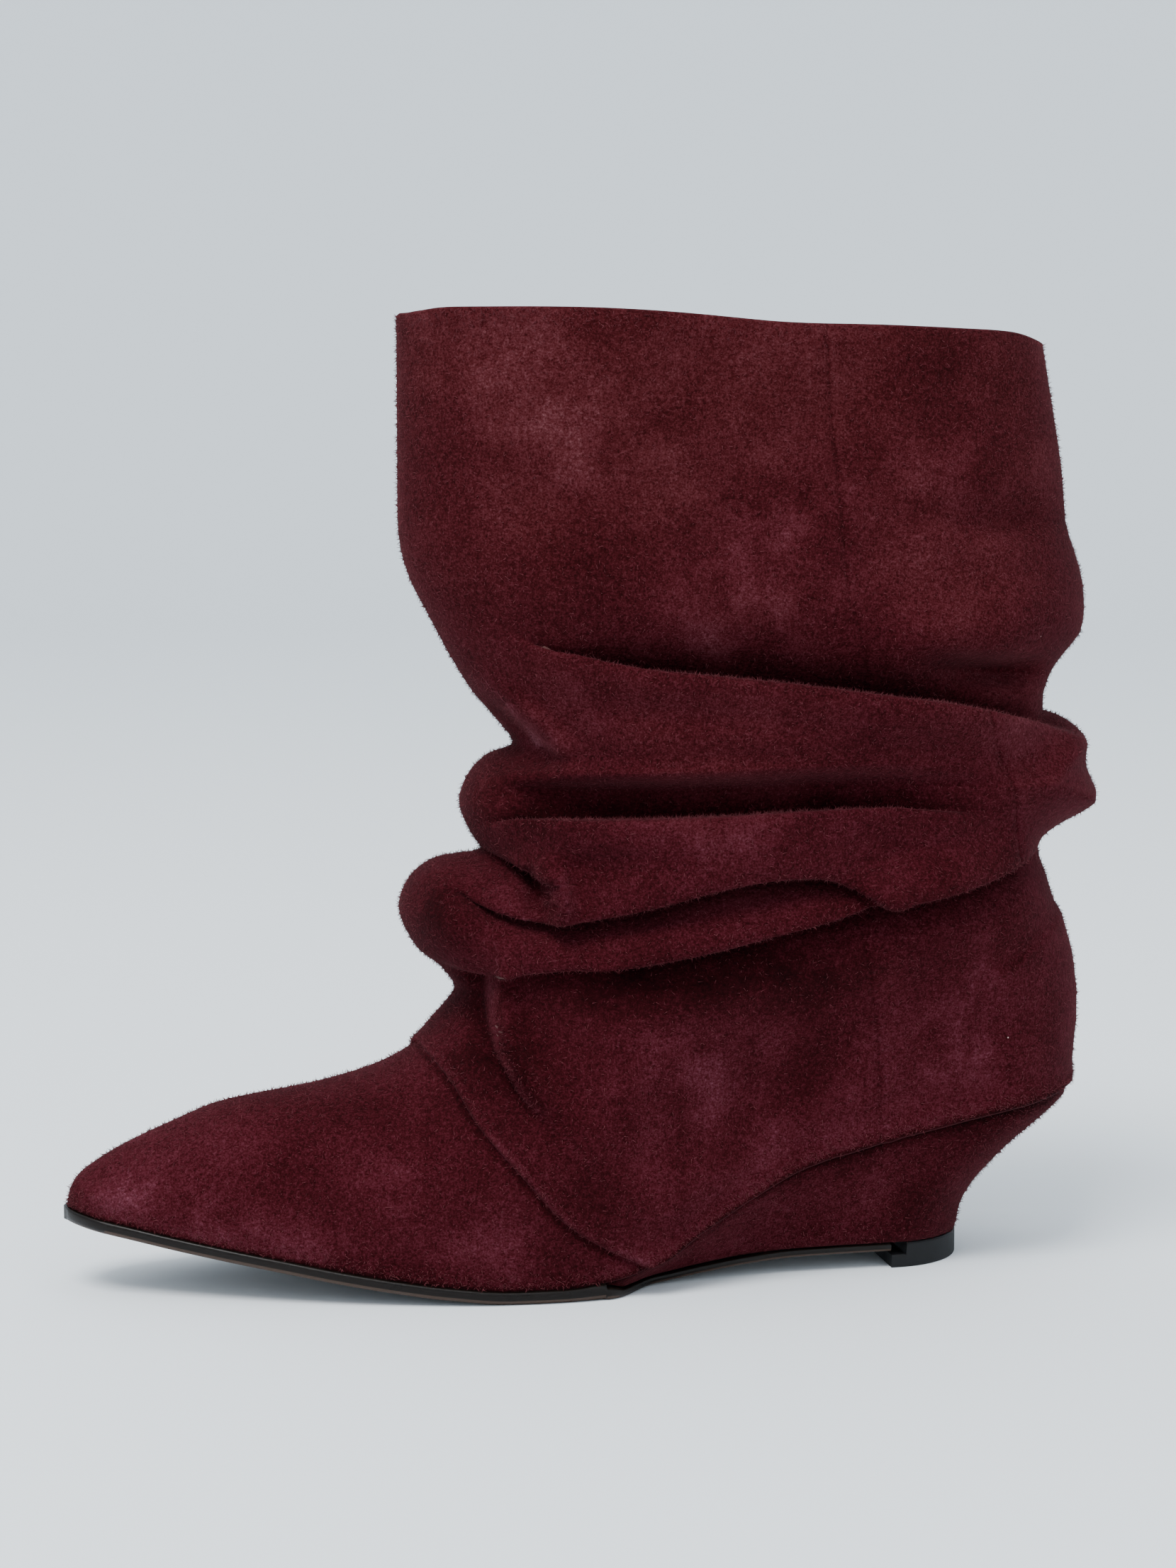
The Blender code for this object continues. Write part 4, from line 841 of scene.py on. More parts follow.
def outer_face(net, panel):
    """Points of the outer face of a net, and at each of them the painted shade of fold hollows, the paler
    nap and painted highlight of fold lips, and the fuzz of its nap.
    """
    points = np.zeros((len(net.x), 3))
    looks = {name: np.zeros(len(net.x)) for name in ("hollow", "lip", "fuzz")}
    for side, mine in net.halves():
        x, z = net.x[mine], net.z[mine]
        width = half_width(x, z, side)
        full = np.maximum(column(SHAFT_WIDTHS, 1, z / SHAFT_HEIGHT) * SHAFT_WIDTH, 1e-6)
        fade = ease(width / full / END_FADE)
        over_bed = (z - hem(x)) / INSTEP_HEIGHT
        out, roll_x, roll_z, hollow, lip = fold_moves(x, z, side)
        settled = fade * ease(over_bed / FOLD_BLEND)
        seam = seam_distance(x, z, side)
        side_seam = seam_gap(x, z, side)
        out = settled * out
        out += fade * (hump(np.abs(side_seam), SEAM_WELT) + hump(side_seam, SEAM_GROOVE))
        if panel:
            over_wedge = ease((station_at(x) - WEDGE_START_SHARE + HEM_LEAD) / HEM_GROWTH)
            near_hem = bell(over_bed, HEM_REACH) * over_wedge
            out += HEM_SWELL * near_hem * ease(width / full / HEM_FADE)
        else:
            out += fade * hump(seam, VAMP_GROOVE)
        centre = column(FEATHER, 3, station_at(x)) * BALL_WIDTH
        y = centre + side * np.maximum(width + out, 0)
        place = np.stack([x + settled * roll_x, y, z + settled * roll_z], axis=1)
        place[:, 1] += side * sum(rumple(place, waves) for waves in RUMPLES) * settled
        place[:, 2] += collar_rise(x, z)
        if panel:
            place[:, 2] += rumple(place, HEM_RUMPLE) * near_hem
        points[mine] = place
        looks["hollow"][mine] = hollow * settled
        looks["lip"][mine] = lip * settled
        fuzz = FUZZ_LIP * lip * settled + FUZZ_OUTLINE * (1 - ease(width / OUTLINE_WIDTH))
        fuzz += FUZZ_ALL + hump(SHAFT_HEIGHT - z, FUZZ_COLLAR)
        if panel:
            fuzz += hump(seam, FUZZ_SEAM)
        looks["fuzz"][mine] = fuzz + hump(z - hem(x), FUZZ_HEM)
    if panel:
        seam = net.measured(seam_distance)
        thinning = (1 - STEP_KEPT) * ease((seam - STEP_FROM) / STEP_RUN)
        step = PANEL_STEP * roundness(seam / EDGE_ROUND) * (1 - thinning)
        points += vertex_normals(points, net.faces) * step[:, None]
    return points, looks


def vertex_normals(points, faces):
    """Smooth outward normals of a sheet."""
    mesh = bpy.data.meshes.new("sheet")
    mesh.from_pydata(points.tolist(), [], faces)
    mesh.update()
    normals = np.zeros(len(points) * 3)
    mesh.vertex_normals.foreach_get("vector", normals)
    bpy.data.meshes.remove(mesh)
    return normals.reshape(-1, 3)


def set_value(mesh, name, value):
    """Stores a value at each point of a mesh, for its material to read."""
    mesh.attributes.new(name, "FLOAT", "POINT").data.foreach_set("value", value)


def add_object(name, data):
    """A new object in the scene, at the origin."""
    made = bpy.data.objects.new(name, data)
    bpy.context.collection.objects.link(made)
    return made


def add_piece(name, points, faces, materials, slots=None, values=None, sharp=None):
    """A finished piece as an object at the origin, with its values."""
    mesh = bpy.data.meshes.new(name)
    mesh.from_pydata([tuple(point) for point in points], [], faces)
    for material in materials:
        mesh.materials.append(material)
    if slots is not None:
        mesh.polygons.foreach_set("material_index", slots)
    for key, value in (values or {}).items():
        set_value(mesh, key, value)
    mesh.shade_smooth()
    if sharp:
        mesh.set_sharp_from_angle(angle=sharp)
    mesh.update()
    return add_object(name, mesh)


def walled(name, net, outer, thickness, materials, values):
    """A closed wall from an outer sheet: its inner sheet, and a rounded edge along each border."""
    normals = vertex_normals(outer, net.faces)
    inner = outer - normals * thickness[:, None]
    count = len(outer)
    faces = [list(face) for face in net.faces]
    slots = [0] * len(faces)
    faces += [[k + count for k in reversed(face)] for face in net.faces]
    slots += [1] * len(net.faces)
    edges = {}
    for face in net.faces:
        for a, b in zip(face, face[1:] + face[:1]):
            edges[(a, b)] = True
    border = [(a, b) for a, b in edges if (b, a) not in edges]
    way = np.zeros((count, 3))
    for a, b in border:
        run = outer[b] - outer[a]
        way[a] += run
        way[b] += run
    rows = sorted({k for edge in border for k in edge})
    place = {k: 2 * count + i for i, k in enumerate(rows)}
    push = np.cross(way[rows], normals[rows])
    push /= np.maximum(np.linalg.norm(push, axis=1, keepdims=True), 1e-12)
    middle = (outer[rows] + inner[rows]) / 2 + push * thickness[rows, None] * WALL_ROUND
    for a, b in border:
        faces.append([b, a, place[a], place[b]])
        faces.append([place[b], place[a], a + count, b + count])
    slots += [0, 0] * len(border)
    points = np.concatenate([outer, inner, middle])
    full = {key: np.concatenate([value, value, value[rows]]) for key, value in values.items()}
    return add_piece(name, points, faces, materials, slots, full)


def fibre_group(material):
    """Node group that sets short closed fibres on a sheet, where its fuzz says so."""
    tree = bpy.data.node_groups.new("fibres", "GeometryNodeTree")
    for name, kind in (("Sheet", "NodeSocketGeometry"), ("Density", "NodeSocketFloat"),
                       ("Length", "NodeSocketFloat"), ("Seed", "NodeSocketInt")):
        tree.interface.new_socket(name, in_out="INPUT", socket_type=kind)
    tree.interface.new_socket("Fibres", in_out="OUTPUT", socket_type="NodeSocketGeometry")

    def node(kind, **values):
        made = tree.nodes.new(kind)
        for name, value in values.items():
            made.inputs[name.replace("_", " ")].default_value = value
        return made

    start, end = node("NodeGroupInput"), node("NodeGroupOutput")
    fuzz = node("GeometryNodeInputNamedAttribute", Name="fuzz")
    density = node("ShaderNodeMath")
    density.operation = "MULTIPLY"
    scatter = node("GeometryNodeDistributePointsOnFaces")
    cone = node("GeometryNodeMeshCone", Vertices=3, Radius_Top=0.0, Radius_Bottom=FIBRE_RADIUS)
    place = node("GeometryNodeInstanceOnPoints")
    size = node("FunctionNodeRandomValue")
    size.data_type = "FLOAT"
    size.inputs[2].default_value, size.inputs[3].default_value = FIBRE_SIZES
    tilt = node("FunctionNodeRandomValue")
    tilt.data_type = "FLOAT_VECTOR"
    tilt.inputs[0].default_value = [-turn for turn in FIBRE_TILT]
    tilt.inputs[1].default_value = FIBRE_TILT
    turn = node("GeometryNodeRotateInstances")
    solid = node("GeometryNodeRealizeInstances")
    cover = node("GeometryNodeSetMaterial")
    cover.inputs["Material"].default_value = material
    for source, target in (
            (start.outputs["Sheet"], scatter.inputs["Mesh"]),
            (start.outputs["Density"], density.inputs[0]),
            (fuzz.outputs["Attribute"], density.inputs[1]),
            (density.outputs["Value"], scatter.inputs["Density"]),
            (start.outputs["Seed"], scatter.inputs["Seed"]),
            (start.outputs["Length"], cone.inputs["Depth"]),
            (scatter.outputs["Points"], place.inputs["Points"]),
            (cone.outputs["Mesh"], place.inputs["Instance"]),
            (scatter.outputs["Rotation"], place.inputs["Rotation"]),
            (size.outputs[1], place.inputs["Scale"]),
            (place.outputs["Instances"], turn.inputs["Instances"]),
            (tilt.outputs[0], turn.inputs["Rotation"]),
            (turn.outputs["Instances"], solid.inputs["Geometry"]),
            (solid.outputs["Geometry"], cover.inputs["Geometry"]),
            (cover.outputs["Geometry"], end.inputs["Fibres"])):
        link(tree, source, target)
    return tree


def add_fibres(name, points, faces, fuzz, seed, material):
    """Fibres on a sheet, as a mesh of their own."""
    sheet = add_piece("bare_sheet", points, faces, [], values={"fuzz": fuzz})
    group = fibre_group(material)
    modifier = sheet.modifiers.new("fibres", "NODES")
    modifier.node_group = group
    ask = {item.name: item.identifier for item in group.interface.items_tree if item.in_out == "INPUT"}
    modifier[ask["Density"]] = float(FIBRES_PER_AREA)
    modifier[ask["Length"]] = FIBRE_LENGTH
    modifier[ask["Seed"]] = seed
    bpy.context.view_layer.update()
    mesh = bpy.data.meshes.new_from_object(sheet.evaluated_get(bpy.context.evaluated_depsgraph_get()))
    mesh.name = name
    bpy.data.objects.remove(sheet)
    return add_object(name, mesh)


def nap_values(net, looks, seam_line):
    """What the suede's colour and bump read at each point."""
    brushed = net.measured(lambda x, z, side: blobs(BRUSHED_AND_SHADED, x, z, side))
    # hollow carries painted shade, lip painted highlight, hem_gap places the painted shadow along the hem,
    # wrinkle the worn and lit ridges, brushed the nap patches with some painted shade and highlight
    return {"hollow": looks["hollow"], "lip": looks["lip"], "brushed": brushed,
            "side_seam": net.measured(seam_gap), "vamp_seam": seam_line, "hem_gap": net.z - hem(net.x),
            "wrinkle": net.measured(lambda x, z, side: line_gap(WRINKLES, x, z, side))}


def make_upper(suede, lining, fibre):
    """The shaft's panels, standing over the vamp along its seam, each with its fibres."""
    whole = upper_net()
    for level in SEAM_CUTS:
        whole.cut(seam_distance, level)
    distance = whole.measured(seam_distance)
    pieces = []
    for name, keep, panel in (("vamp", OVERLAP - distance, False), ("shaft", distance, True)):
        net = whole.part(keep)
        points, looks = outer_face(net, panel)
        bent = np.clip(HOLLOW_GAIN * np.maximum(looks["hollow"], looks["lip"]), 0, 1)
        thickness = WALL * (PANEL_WALL if panel else VAMP_WALL) * (1 - BEND_THINNING * bent)
        seam_line = net.measured(seam_distance)
        values = nap_values(net, looks, seam_line)
        pieces.append(walled(name, net, points, thickness, [suede, lining], values))
        fuzz = looks["fuzz"]
        if not panel:
            fuzz = np.where(seam_line < COVERED, fuzz, 0)
        pieces.append(add_fibres(name + "_fibres", points, net.faces, fuzz, 3 if panel else 5, fibre))
    return pieces


def link(tree, source, target):
    """Joins two sockets."""
    tree.links.new(source, target)


class Finish:
    """A material's node tree with short calls for the nodes used here."""

    def __init__(self, name):
        self.material = bpy.data.materials.new(name)
        self.material.use_nodes = True
        self.tree = self.material.node_tree
        self.shader = self.tree.nodes["Principled BSDF"]
        self.place = self.tree.nodes.new("ShaderNodeTexCoord").outputs["Object"]

    def noise(self, scale, detail=2.0, roughness=0.5):
        """Smooth noise on the piece's own coordinates."""
        node = self.tree.nodes.new("ShaderNodeTexNoise")
        node.inputs["Scale"].default_value = scale
        node.inputs["Detail"].default_value = detail
        node.inputs["Roughness"].default_value = roughness
        link(self.tree, self.place, node.inputs["Vector"])
        return node.outputs["Fac"]

    def value(self, name):
        node = self.tree.nodes.new("ShaderNodeAttribute")
        node.attribute_name = name
        return node.outputs["Fac"]

    def math(self, operation, a, b=0.0, clamp=False):
        node = self.tree.nodes.new("ShaderNodeMath")
        node.operation = operation
        node.use_clamp = clamp
        for socket, value in zip(node.inputs, (a, b)):
            if isinstance(value, (int, float)):
                socket.default_value = value
            else:
                link(self.tree, value, socket)
        return node.outputs["Value"]

    def add(self, *values):
        total = values[0]
        for value in values[1:]:
            total = self.math("ADD", total, value)
        return total

    def times(self, a, b):
        return self.math("MULTIPLY", a, b)

    def minus(self, a, b):
        return self.math("SUBTRACT", a, b)

    def steps(self, value, *rows):
        """Maps a value through (place, level) rows."""
        node = self.tree.nodes.new("ShaderNodeValToRGB")
        ramp = node.color_ramp
        for k, (place, level) in enumerate(rows):
            mark = ramp.elements[k] if k < 2 else ramp.elements.new(place)
            mark.position = place
            color = level if isinstance(level, tuple) else (level, level, level)
            mark.color = (*color, 1)
        link(self.tree, value, node.inputs["Fac"])
        return node.outputs["Color"]

    def specks(self, scale, size):
        """1 on a few tiny round specks, one to a cell at most."""
        node = self.tree.nodes.new("ShaderNodeTexVoronoi")
        node.inputs["Scale"].default_value = scale
        link(self.tree, self.place, node.inputs["Vector"])
        inside = self.math("LESS_THAN", node.outputs["Distance"], size)
        picked = self.math("GREATER_THAN", node.outputs["Color"], 0.5)
        return self.times(inside, picked)

    def ridge(self, value, width):
        """1 on a line where the value is 0, fading out over the width."""
        share = self.math("DIVIDE", self.math("ABSOLUTE", value), width)
        return self.math("SUBTRACT", 1.0, self.math("SMOOTH_MIN", share, 1.0), clamp=True)

    def mix(self, share, low, high):
        node = self.tree.nodes.new("ShaderNodeMix")
        node.data_type = "RGBA"
        link(self.tree, share, node.inputs["Factor"])
        for socket, value in zip((node.inputs[6], node.inputs[7]), (low, high)):
            if isinstance(value, tuple):
                socket.default_value = (*value, 1)
            else:
                link(self.tree, value, socket)
        return node.outputs[2]

    def bump(self, height, distance, strength, under=None):
        node = self.tree.nodes.new("ShaderNodeBump")
        node.inputs["Distance"].default_value = distance
        node.inputs["Strength"].default_value = strength
        link(self.tree, height, node.inputs["Height"])
        if under:
            link(self.tree, under, node.inputs["Normal"])
        return node.outputs["Normal"]

    def done(self, color=None, roughness=None, normal=None, **plain):
        for socket, value in (("Base Color", color), ("Roughness", roughness), ("Normal", normal)):
            if value is not None:
                link(self.tree, value, self.shader.inputs[socket])
        for socket, value in plain.items():
            self.shader.inputs[socket.replace("_", " ")].default_value = value
        return self.material


def suede_finish(name, seams=True):
    """Brushed wine suede: clouds of nap, fine speckle, painted shade in fold hollows, along the hem and
    under the panels' edge, and paler rubbed nap with painted highlight on ridges and fold lips.
    """
    finish = Finish(name)
    nap = {}
    tone = NAP_TONE
    for layer, scale, detail, roughness, weight in NAP_LAYERS:
        nap[layer] = finish.noise(scale, detail, roughness)
        tone = finish.add(finish.times(finish.minus(nap[layer], 0.5), weight), tone)
    breaks = {way: finish.steps(nap["blotches"], *rows) for way, rows in NAP_BREAKS.items()}
    breaks["even"] = 1.0
    # brushed patches of nap, some of them painted shade and painted highlight
    patches = finish.times(finish.value("brushed"), breaks["torn"])
    tone = finish.add(tone, finish.times(patches, BRUSHED_WEIGHT), 0.0 if seams else COVER_TONE)
    # painted shade in fold hollows and under the hem, painted highlight on fold lips
    for area, weight in UPPER_AREAS if seams else COVER_AREAS:
        tone = finish.add(tone, finish.times(finish.value(area), weight))
    lines = {}
    for line, gap, place, reach, weight, broken in NAP_LINES if seams else ():
        along = finish.ridge(finish.minus(finish.value(gap), place), reach)
        lines[line] = finish.times(along, breaks[broken])
        tone = finish.add(tone, finish.times(lines[line], weight))
    height = finish.tree.nodes.new("ShaderNodeSeparateXYZ")
    link(finish.tree, finish.place, height.inputs["Vector"])
    warmth = finish.add(finish.times(height.outputs["Z"], TINT_RISE),
                        finish.times(nap["clouds"], TINT_CLOUDS), TINT_START)
    tinted = finish.tree.nodes.new("ShaderNodeMix")
    tinted.data_type, tinted.blend_type = "RGBA", "MULTIPLY"
    tinted.inputs["Factor"].default_value = 1.0
    link(finish.tree, finish.steps(tone, *SUEDE_TONES), tinted.inputs[6])
    link(finish.tree, finish.steps(warmth, *TINTS), tinted.inputs[7])
    color = finish.mix(finish.specks(SPECK_SCALE, SPECK_SIZE), tinted.outputs[2], SPECK_COLOR)
    normal = None
    for layer, depth, strength in NAP_BUMPS:
        normal = finish.bump(nap[layer], depth, strength, normal)
    if seams:
        raised = finish.minus(finish.times(lines["worn_highlight"], WORN_RISE), lines["groove"])
        normal = finish.bump(raised, *WORN_BUMP, normal)
    return finish.done(color, None, normal, Roughness=0.95, Specular_IOR_Level=0.04,
                       Sheen_Weight=0.06, Sheen_Roughness=0.5, Sheen_Tint=(0.85, 0.26, 0.30, 1))


def fibre_finish():
    """Loose suede fibres, a little paler than the nap."""
    finish = Finish("suede_fibre")
    color = finish.mix(finish.noise(FIBRE_NOISE), FIBRE_DARK, FIBRE_LIGHT)
    return finish.done(color, Roughness=0.9, Specular_IOR_Level=0.1)


def leather_finish(name, dark, light, roughness, gloss=0.3):
    """Smooth leather with fine pores and soft stains."""
    finish = Finish(name)
    stains = finish.noise(*STAIN_NOISE)
    color = finish.mix(stains, dark, light)
    rough = finish.steps(stains, *((level, roughness + change) for level, change in STAIN_ROUGHNESS))
    pores = finish.bump(finish.noise(*PORE_NOISE), *PORE_BUMP)
    return finish.done(color, rough, pores, Specular_IOR_Level=gloss)


def ring_of(half, *place):
    """A closed section: its outer half, then its inner half backwards."""
    return half(*place, -1) + half(*place, 1)[::-1]


def middle_line(x):
    """Y of the last's middle line."""
    return float(column(FEATHER, 3, station_at(x))) * BALL_WIDTH


def sole_half(station, side):
    """Half of the outsole's section, from the middle of its underside round the edge to its top."""
    x = float(x_at(station))
    centre, low = middle_line(x), float(underside(x))
    edge = outline(x, side, SOLE_MARGIN)
    top = float(bed(x)) - GAP
    if station >= WEDGE_START_SHARE:
        narrow = outline(x, side, -WEDGE_INSET) * WEDGE_FLUTE[0][2]
        edge += (narrow - edge) * float(waist_share(station))
        top = wedge_low(x) - GAP
    most = abs(edge - centre)
    lower, upper = (min(share * (top - low), most) for share in SOLE_ROUND)
    points = [(x, centre + 0.5 * (edge - centre), low)]
    for turn in np.linspace(0, math.pi / 2, SOLE_ROUND_STEPS[0]):
        points.append((x, edge - side * lower * (1 - math.sin(turn)), low + lower * (1 - math.cos(turn))))
    for turn in np.linspace(0, math.pi / 2, SOLE_ROUND_STEPS[1]):
        points.append((x, edge - side * upper * (1 - math.cos(turn)), top - upper * (1 - math.sin(turn))))
    points.append((x, centre + 0.5 * (edge - centre), top))
    return points


def waist_share(station):
    """How far the sole and wedge have drawn in to the waist."""
    return ease((station - WEDGE_START_SHARE) / WAIST_DRAW_SHARE)


def wedge_low(x):
    """Height of the wedge's lower face."""
    thin = underside(x) + WAIST_THICKNESS + GAP
    start = bed(x) - GAP - WEDGE_EDGE
    low = start + (thin - start) * ease((station_at(x) - WEDGE_START_SHARE) / WAIST_THIN_SHARE)
    return float(np.minimum(low, start))


def wedge_point(share, height, side):
    """A point of the wedge's side, by its share of the length and of the height."""
    front_x = float(x_at(WEDGE_START_SHARE))
    full, foot = float(x_at(1)) - WEDGE_INSET, float(x_at(TOP_PIECE_END_SHARE))
    back_x = foot + (full - foot) * float(column(WEDGE_FLUTE, 1, height))
    x = front_x + (back_x - front_x) * share
    x_top = front_x + (full - front_x) * share
    narrow = float(column(WEDGE_FLUTE, 2, height))
    lean = 1 - (1 - narrow) * float(waist_share(station_at(x)))
    y = outline(x_top, side, -WEDGE_INSET) * lean
    low, top = wedge_low(min(x, float(x_at(BREAST_SHARE)))), float(hem(x)) - GAP
    return (x, y, low + (top - low) * height)


def lofted(name, sections, materials, slot_of=None, sharp=None, pinched=False):
    """A closed solid through closed sections, with faces to the middle of its ends.

    A pinched solid's last section has no width, so its two sides are welded there instead.
    """
    count = len(sections[0])
    points = [point for ring in sections for point in ring]
    faces = []
    for i in range(len(sections) - 1):
        for j in range(count):
            k = (j + 1) % count
            faces.append([i * count + j, (i + 1) * count + j, (i + 1) * count + k, i * count + k])
    ends = [(0, 1)]
    if not pinched:
        ends.append((len(sections) - 1, -1))
    for i, order in ends:
        middle = len(points)
        points.append(tuple(np.mean(sections[i], axis=0)))
        for j in range(count):
            pair = [i * count + j, i * count + (j + 1) % count]
            faces.append([middle, *pair[::order]])
    made = add_piece(name, points, faces, materials, sharp=sharp)
    if pinched:
        solid = bmesh.new()
        solid.from_mesh(made.data)
        bmesh.ops.remove_doubles(solid, verts=solid.verts, dist=1e-6)
        solid.to_mesh(made.data)
        solid.free()
    if slot_of:
        slots = [slot_of(face) for face in made.data.polygons]
        made.data.polygons.foreach_set("material_index", slots)
    return made


def make_outsole(edge, under):
    """Full thickness to the wedge's front edge, then a thin waist that runs under it to the breast."""
    front_end = WEDGE_START_SHARE - GAP / LENGTH
    stations = end_spaced(0.0, 1.0, SOLE_STEPS)
    front = [-SOLE_MARGIN / LENGTH, *stations[stations < front_end - SOLE_STEP_LEAST], front_end]
    back = np.linspace(WEDGE_START_SHARE, BREAST_SHARE, WAIST_STEPS)
    sections = [ring_of(sole_half, station) for station in (*front, *back)]
    return lofted("sole", sections, [edge, under], lambda face: 1 if face.normal.z < -0.50 else 0)


def wedge_half(share, turned_in, side):
    """Half of the wedge's section: up its side, over the rim and down inside it."""
    row = []
    for height, turn in zip(COVER_ROWS, turned_in):
        x, y, z = wedge_point(share, float(height), side)
        row.append((x, y - math.copysign(min(abs(y), turn), y), z))
    x, y, z = row[-1]
    inside = y - math.copysign(min(abs(y), WALL_ROUND * WALL), y)
    low = float(bed(x)) - GAP if float(x_at(1)) - x > 2 * WALL else z
    return row + [(x, inside, z), (x, inside, min(low, z))]


def make_wedge(suede, fibre):
    """Covered wedge with a hollow back; the cover turns under with a soft edge."""
    turned_in = np.zeros(len(COVER_ROWS))
    for start, whole, turn in COVER_TURNS:
        turned_in += turn * np.clip((COVER_ROWS - start) / (whole - start), 0, 1) ** 2
    sections = [ring_of(wedge_half, float(share), turned_in)
                for share in end_spaced(0.0, 1.0, PIECE_STEPS)]
    made = lofted("wedge_cover", sections, [suede], pinched=True)
    points = np.array([v.co[:] for v in made.data.vertices])
    x, y, z = points.T
    side = np.where(y < 0, -1, 1)
    brushed = sum(blobs(WEDGE_BRUSHED, x, z, each) * (side == each) for each in (-1, 1))
    # painted shadow on the cover just under the quarter's hem
    set_value(made.data, "shadow_under_rim", np.exp(-np.abs(hem(x) - GAP - z) / RIM_SHADE))
    set_value(made.data, "brushed", brushed)
    faces = [list(face.vertices) for face in made.data.polygons]
    fuzz = np.where(z < WEDGE_FUZZ_FROM, 0.0, WEDGE_FUZZ) + hump(z, WEDGE_EDGE_FUZZ)
    share, start, run = WEDGE_BACK_FUZZ
    fuzz += share * ease((x - start) / run)
    return made, add_fibres("wedge_fibres", points, faces, fuzz, 9, fibre)


def top_piece_half(x, top, whole, side):
    """Half of the top piece's section, with rounded edges."""
    y = wedge_point(min(whole, 1.0), 0.0, side)[1]
    soft = min(RUBBER_ROUND, abs(y))
    return [(x, y - side * soft, 0.0), (x, y, soft), (x, y, top - soft), (x, y - side * soft, top)]


def make_top_piece(rubber):
    """Rubber top piece: straight breast with a step, round back, level top and bottom."""
    front, back = float(x_at(BREAST_SHARE)) + GAP, float(x_at(TOP_PIECE_END_SHARE))
    lip_end = front + LIP_LENGTH
    places = [front, front + RUBBER_ROUND, lip_end - LIP_SLOPE, lip_end]
    round_back = np.sin(np.linspace(0, np.pi / 2, TOP_STEPS))[1:]
    places += [lip_end + (back - lip_end) * float(share) for share in round_back]
    wedge_front = float(x_at(WEDGE_START_SHARE))
    sections = []
    for x in places:
        whole = (x - wedge_front) / (back - wedge_front)
        top = TOP_PIECE_HEIGHT if x >= lip_end else TOP_PIECE_HEIGHT * LIP_HEIGHT
        sections.append(ring_of(top_piece_half, x, top, whole))
    return lofted("rubber_top_piece", sections, [rubber], sharp=0.5)


def insole_half(x, side):
    """Half of the insole's section, from the middle round its softly rounded edge."""
    low = float(bed(x))
    top = low + INSOLE_THICKNESS
    y, centre = outline(x, side, -WALL - 2 * GAP), middle_line(x)
    soft = min(INSOLE_ROUND, abs(y - centre))
    middle = centre + 0.5 * (y - centre)
    return [(x, middle, low), (x, y, low), (x, y, top - soft * 0.6), (x, y - side * soft, top),
            (x, middle, top)]


def make_insole(leather):
    """Insole lying along the whole bed."""
    inset = (WALL + 2 * GAP) / LENGTH
    sections = [ring_of(insole_half, float(x_at(share)))
                for share in end_spaced(inset, 1 - inset, PIECE_STEPS)]
    return lofted("insole_sheet", sections, [leather], sharp=0.8)


def backdrop():
    """Pale round floor that sweeps up on all sides, far from the boot."""
    finish = Finish("pale_paper")
    finish.done(Roughness=0.9, Specular_IOR_Level=0.1)
    finish.shader.inputs["Base Color"].default_value = FLOOR_COLOR
    flat, radius, height, around = 2.4, 1.4, 3.2, 96
    line = [(0.002, 0.0), (flat, 0.0)]
    for turn in np.linspace(0, math.pi / 2, 24)[1:]:
        line.append((flat + radius * math.sin(turn), radius * (1 - math.cos(turn))))
    line.append((flat + radius, height))
    points = [(r * math.cos(k * math.tau / around), r * math.sin(k * math.tau / around), z)
              for r, z in line for k in range(around)]
    faces = [[i * around + k, i * around + (k + 1) % around, (i + 1) * around + (k + 1) % around,
              (i + 1) * around + k] for i in range(len(line) - 1) for k in range(around)]
    faces.append(list(range(around))[::-1])
    made = add_piece("floor", points, faces, [finish.material])
    made.data.flip_normals()
    return made


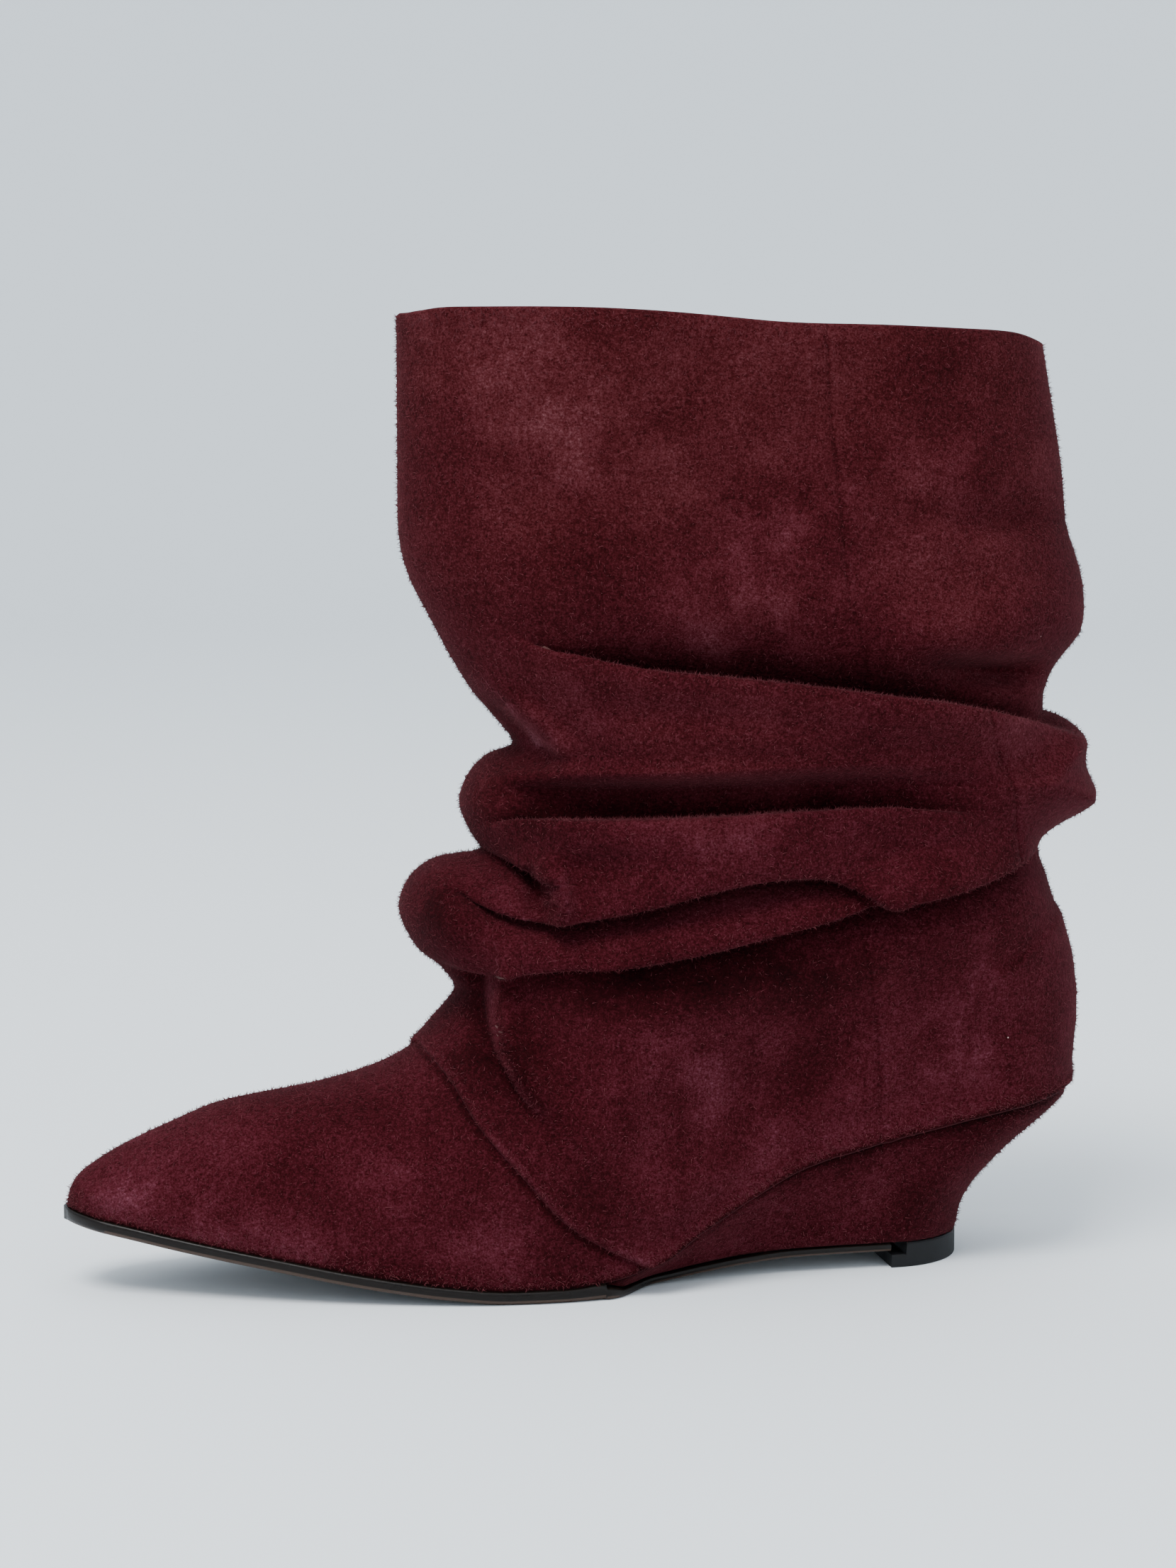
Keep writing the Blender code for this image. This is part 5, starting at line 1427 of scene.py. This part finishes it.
def add_light(name, place, size, power):
    """A soft rectangular light that faces the boot."""
    light = bpy.data.lights.new(name, "AREA")
    light.shape = "RECTANGLE"
    light.size, light.size_y = size
    light.energy = power
    made = add_object(name, light)
    made.location = place
    made.rotation_euler = (Vector(LIGHT_AIM) - Vector(place)).to_track_quat("-Z", "Y").to_euler()


def studio():
    """Large soft key from the upper front left, weak fill, pale surround."""
    for row in LIGHTS:
        add_light(*row)
    world = bpy.data.worlds.new("surround")
    bpy.context.scene.world = world
    world.use_nodes = True
    world.node_tree.nodes["Background"].inputs["Color"].default_value = SURROUND_COLOR
    world.node_tree.nodes["Background"].inputs["Strength"].default_value = SURROUND_STRENGTH


def place_camera():
    """The photo's angle: low, from the outer side, a little towards the toe."""
    camera = bpy.data.cameras.new("camera")
    camera.lens = CAMERA_LENS
    camera.sensor_width = 36
    camera.clip_start, camera.clip_end = 0.05, 20
    made = add_object("camera", camera)
    made.location = CAMERA_PLACE
    made.rotation_euler = (Vector(CAMERA_AIM) - made.location).to_track_quat("-Z", "Y").to_euler()
    bpy.context.scene.camera = made


def main():
    """Makes the boot's pieces with their finishes, then the studio around it."""
    suede = suede_finish("wine_suede")
    cover = suede_finish("wine_suede_cover", seams=False)
    fibre = fibre_finish()
    lining = leather_finish("lining_leather", (0.060, 0.018, 0.016), (0.085, 0.028, 0.024), 0.6)
    edge = leather_finish("sole_edge", (0.0030, 0.0020, 0.0016), (0.008, 0.005, 0.0035), 0.30, gloss=0.16)
    under = leather_finish("sole_leather", (0.026, 0.012, 0.007), (0.052, 0.026, 0.014), 0.5)
    rubber = leather_finish("black_rubber", (0.004, 0.004, 0.0045), (0.008, 0.008, 0.009), 0.6, gloss=0.2)
    inner = leather_finish("insole_leather", (0.16, 0.10, 0.065), (0.24, 0.16, 0.11), 0.55)

    for piece in make_upper(suede, lining, fibre):
        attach(piece, "root")
        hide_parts("upper")
    wedge, wedge_fibres = make_wedge(cover, fibre)
    for piece, node, slot in (
            (wedge, "wedge_heel", "suede_cover"), (wedge_fibres, "wedge_heel", "suede_cover"),
            (make_outsole(edge, under), "outsole", "outsole"),
            (make_top_piece(rubber), "top_piece", "top_piece"), (make_insole(inner), "insole", "insole")):
        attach(piece, "root")
        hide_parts(node)
    backdrop()
    studio()
    place_camera()


main()
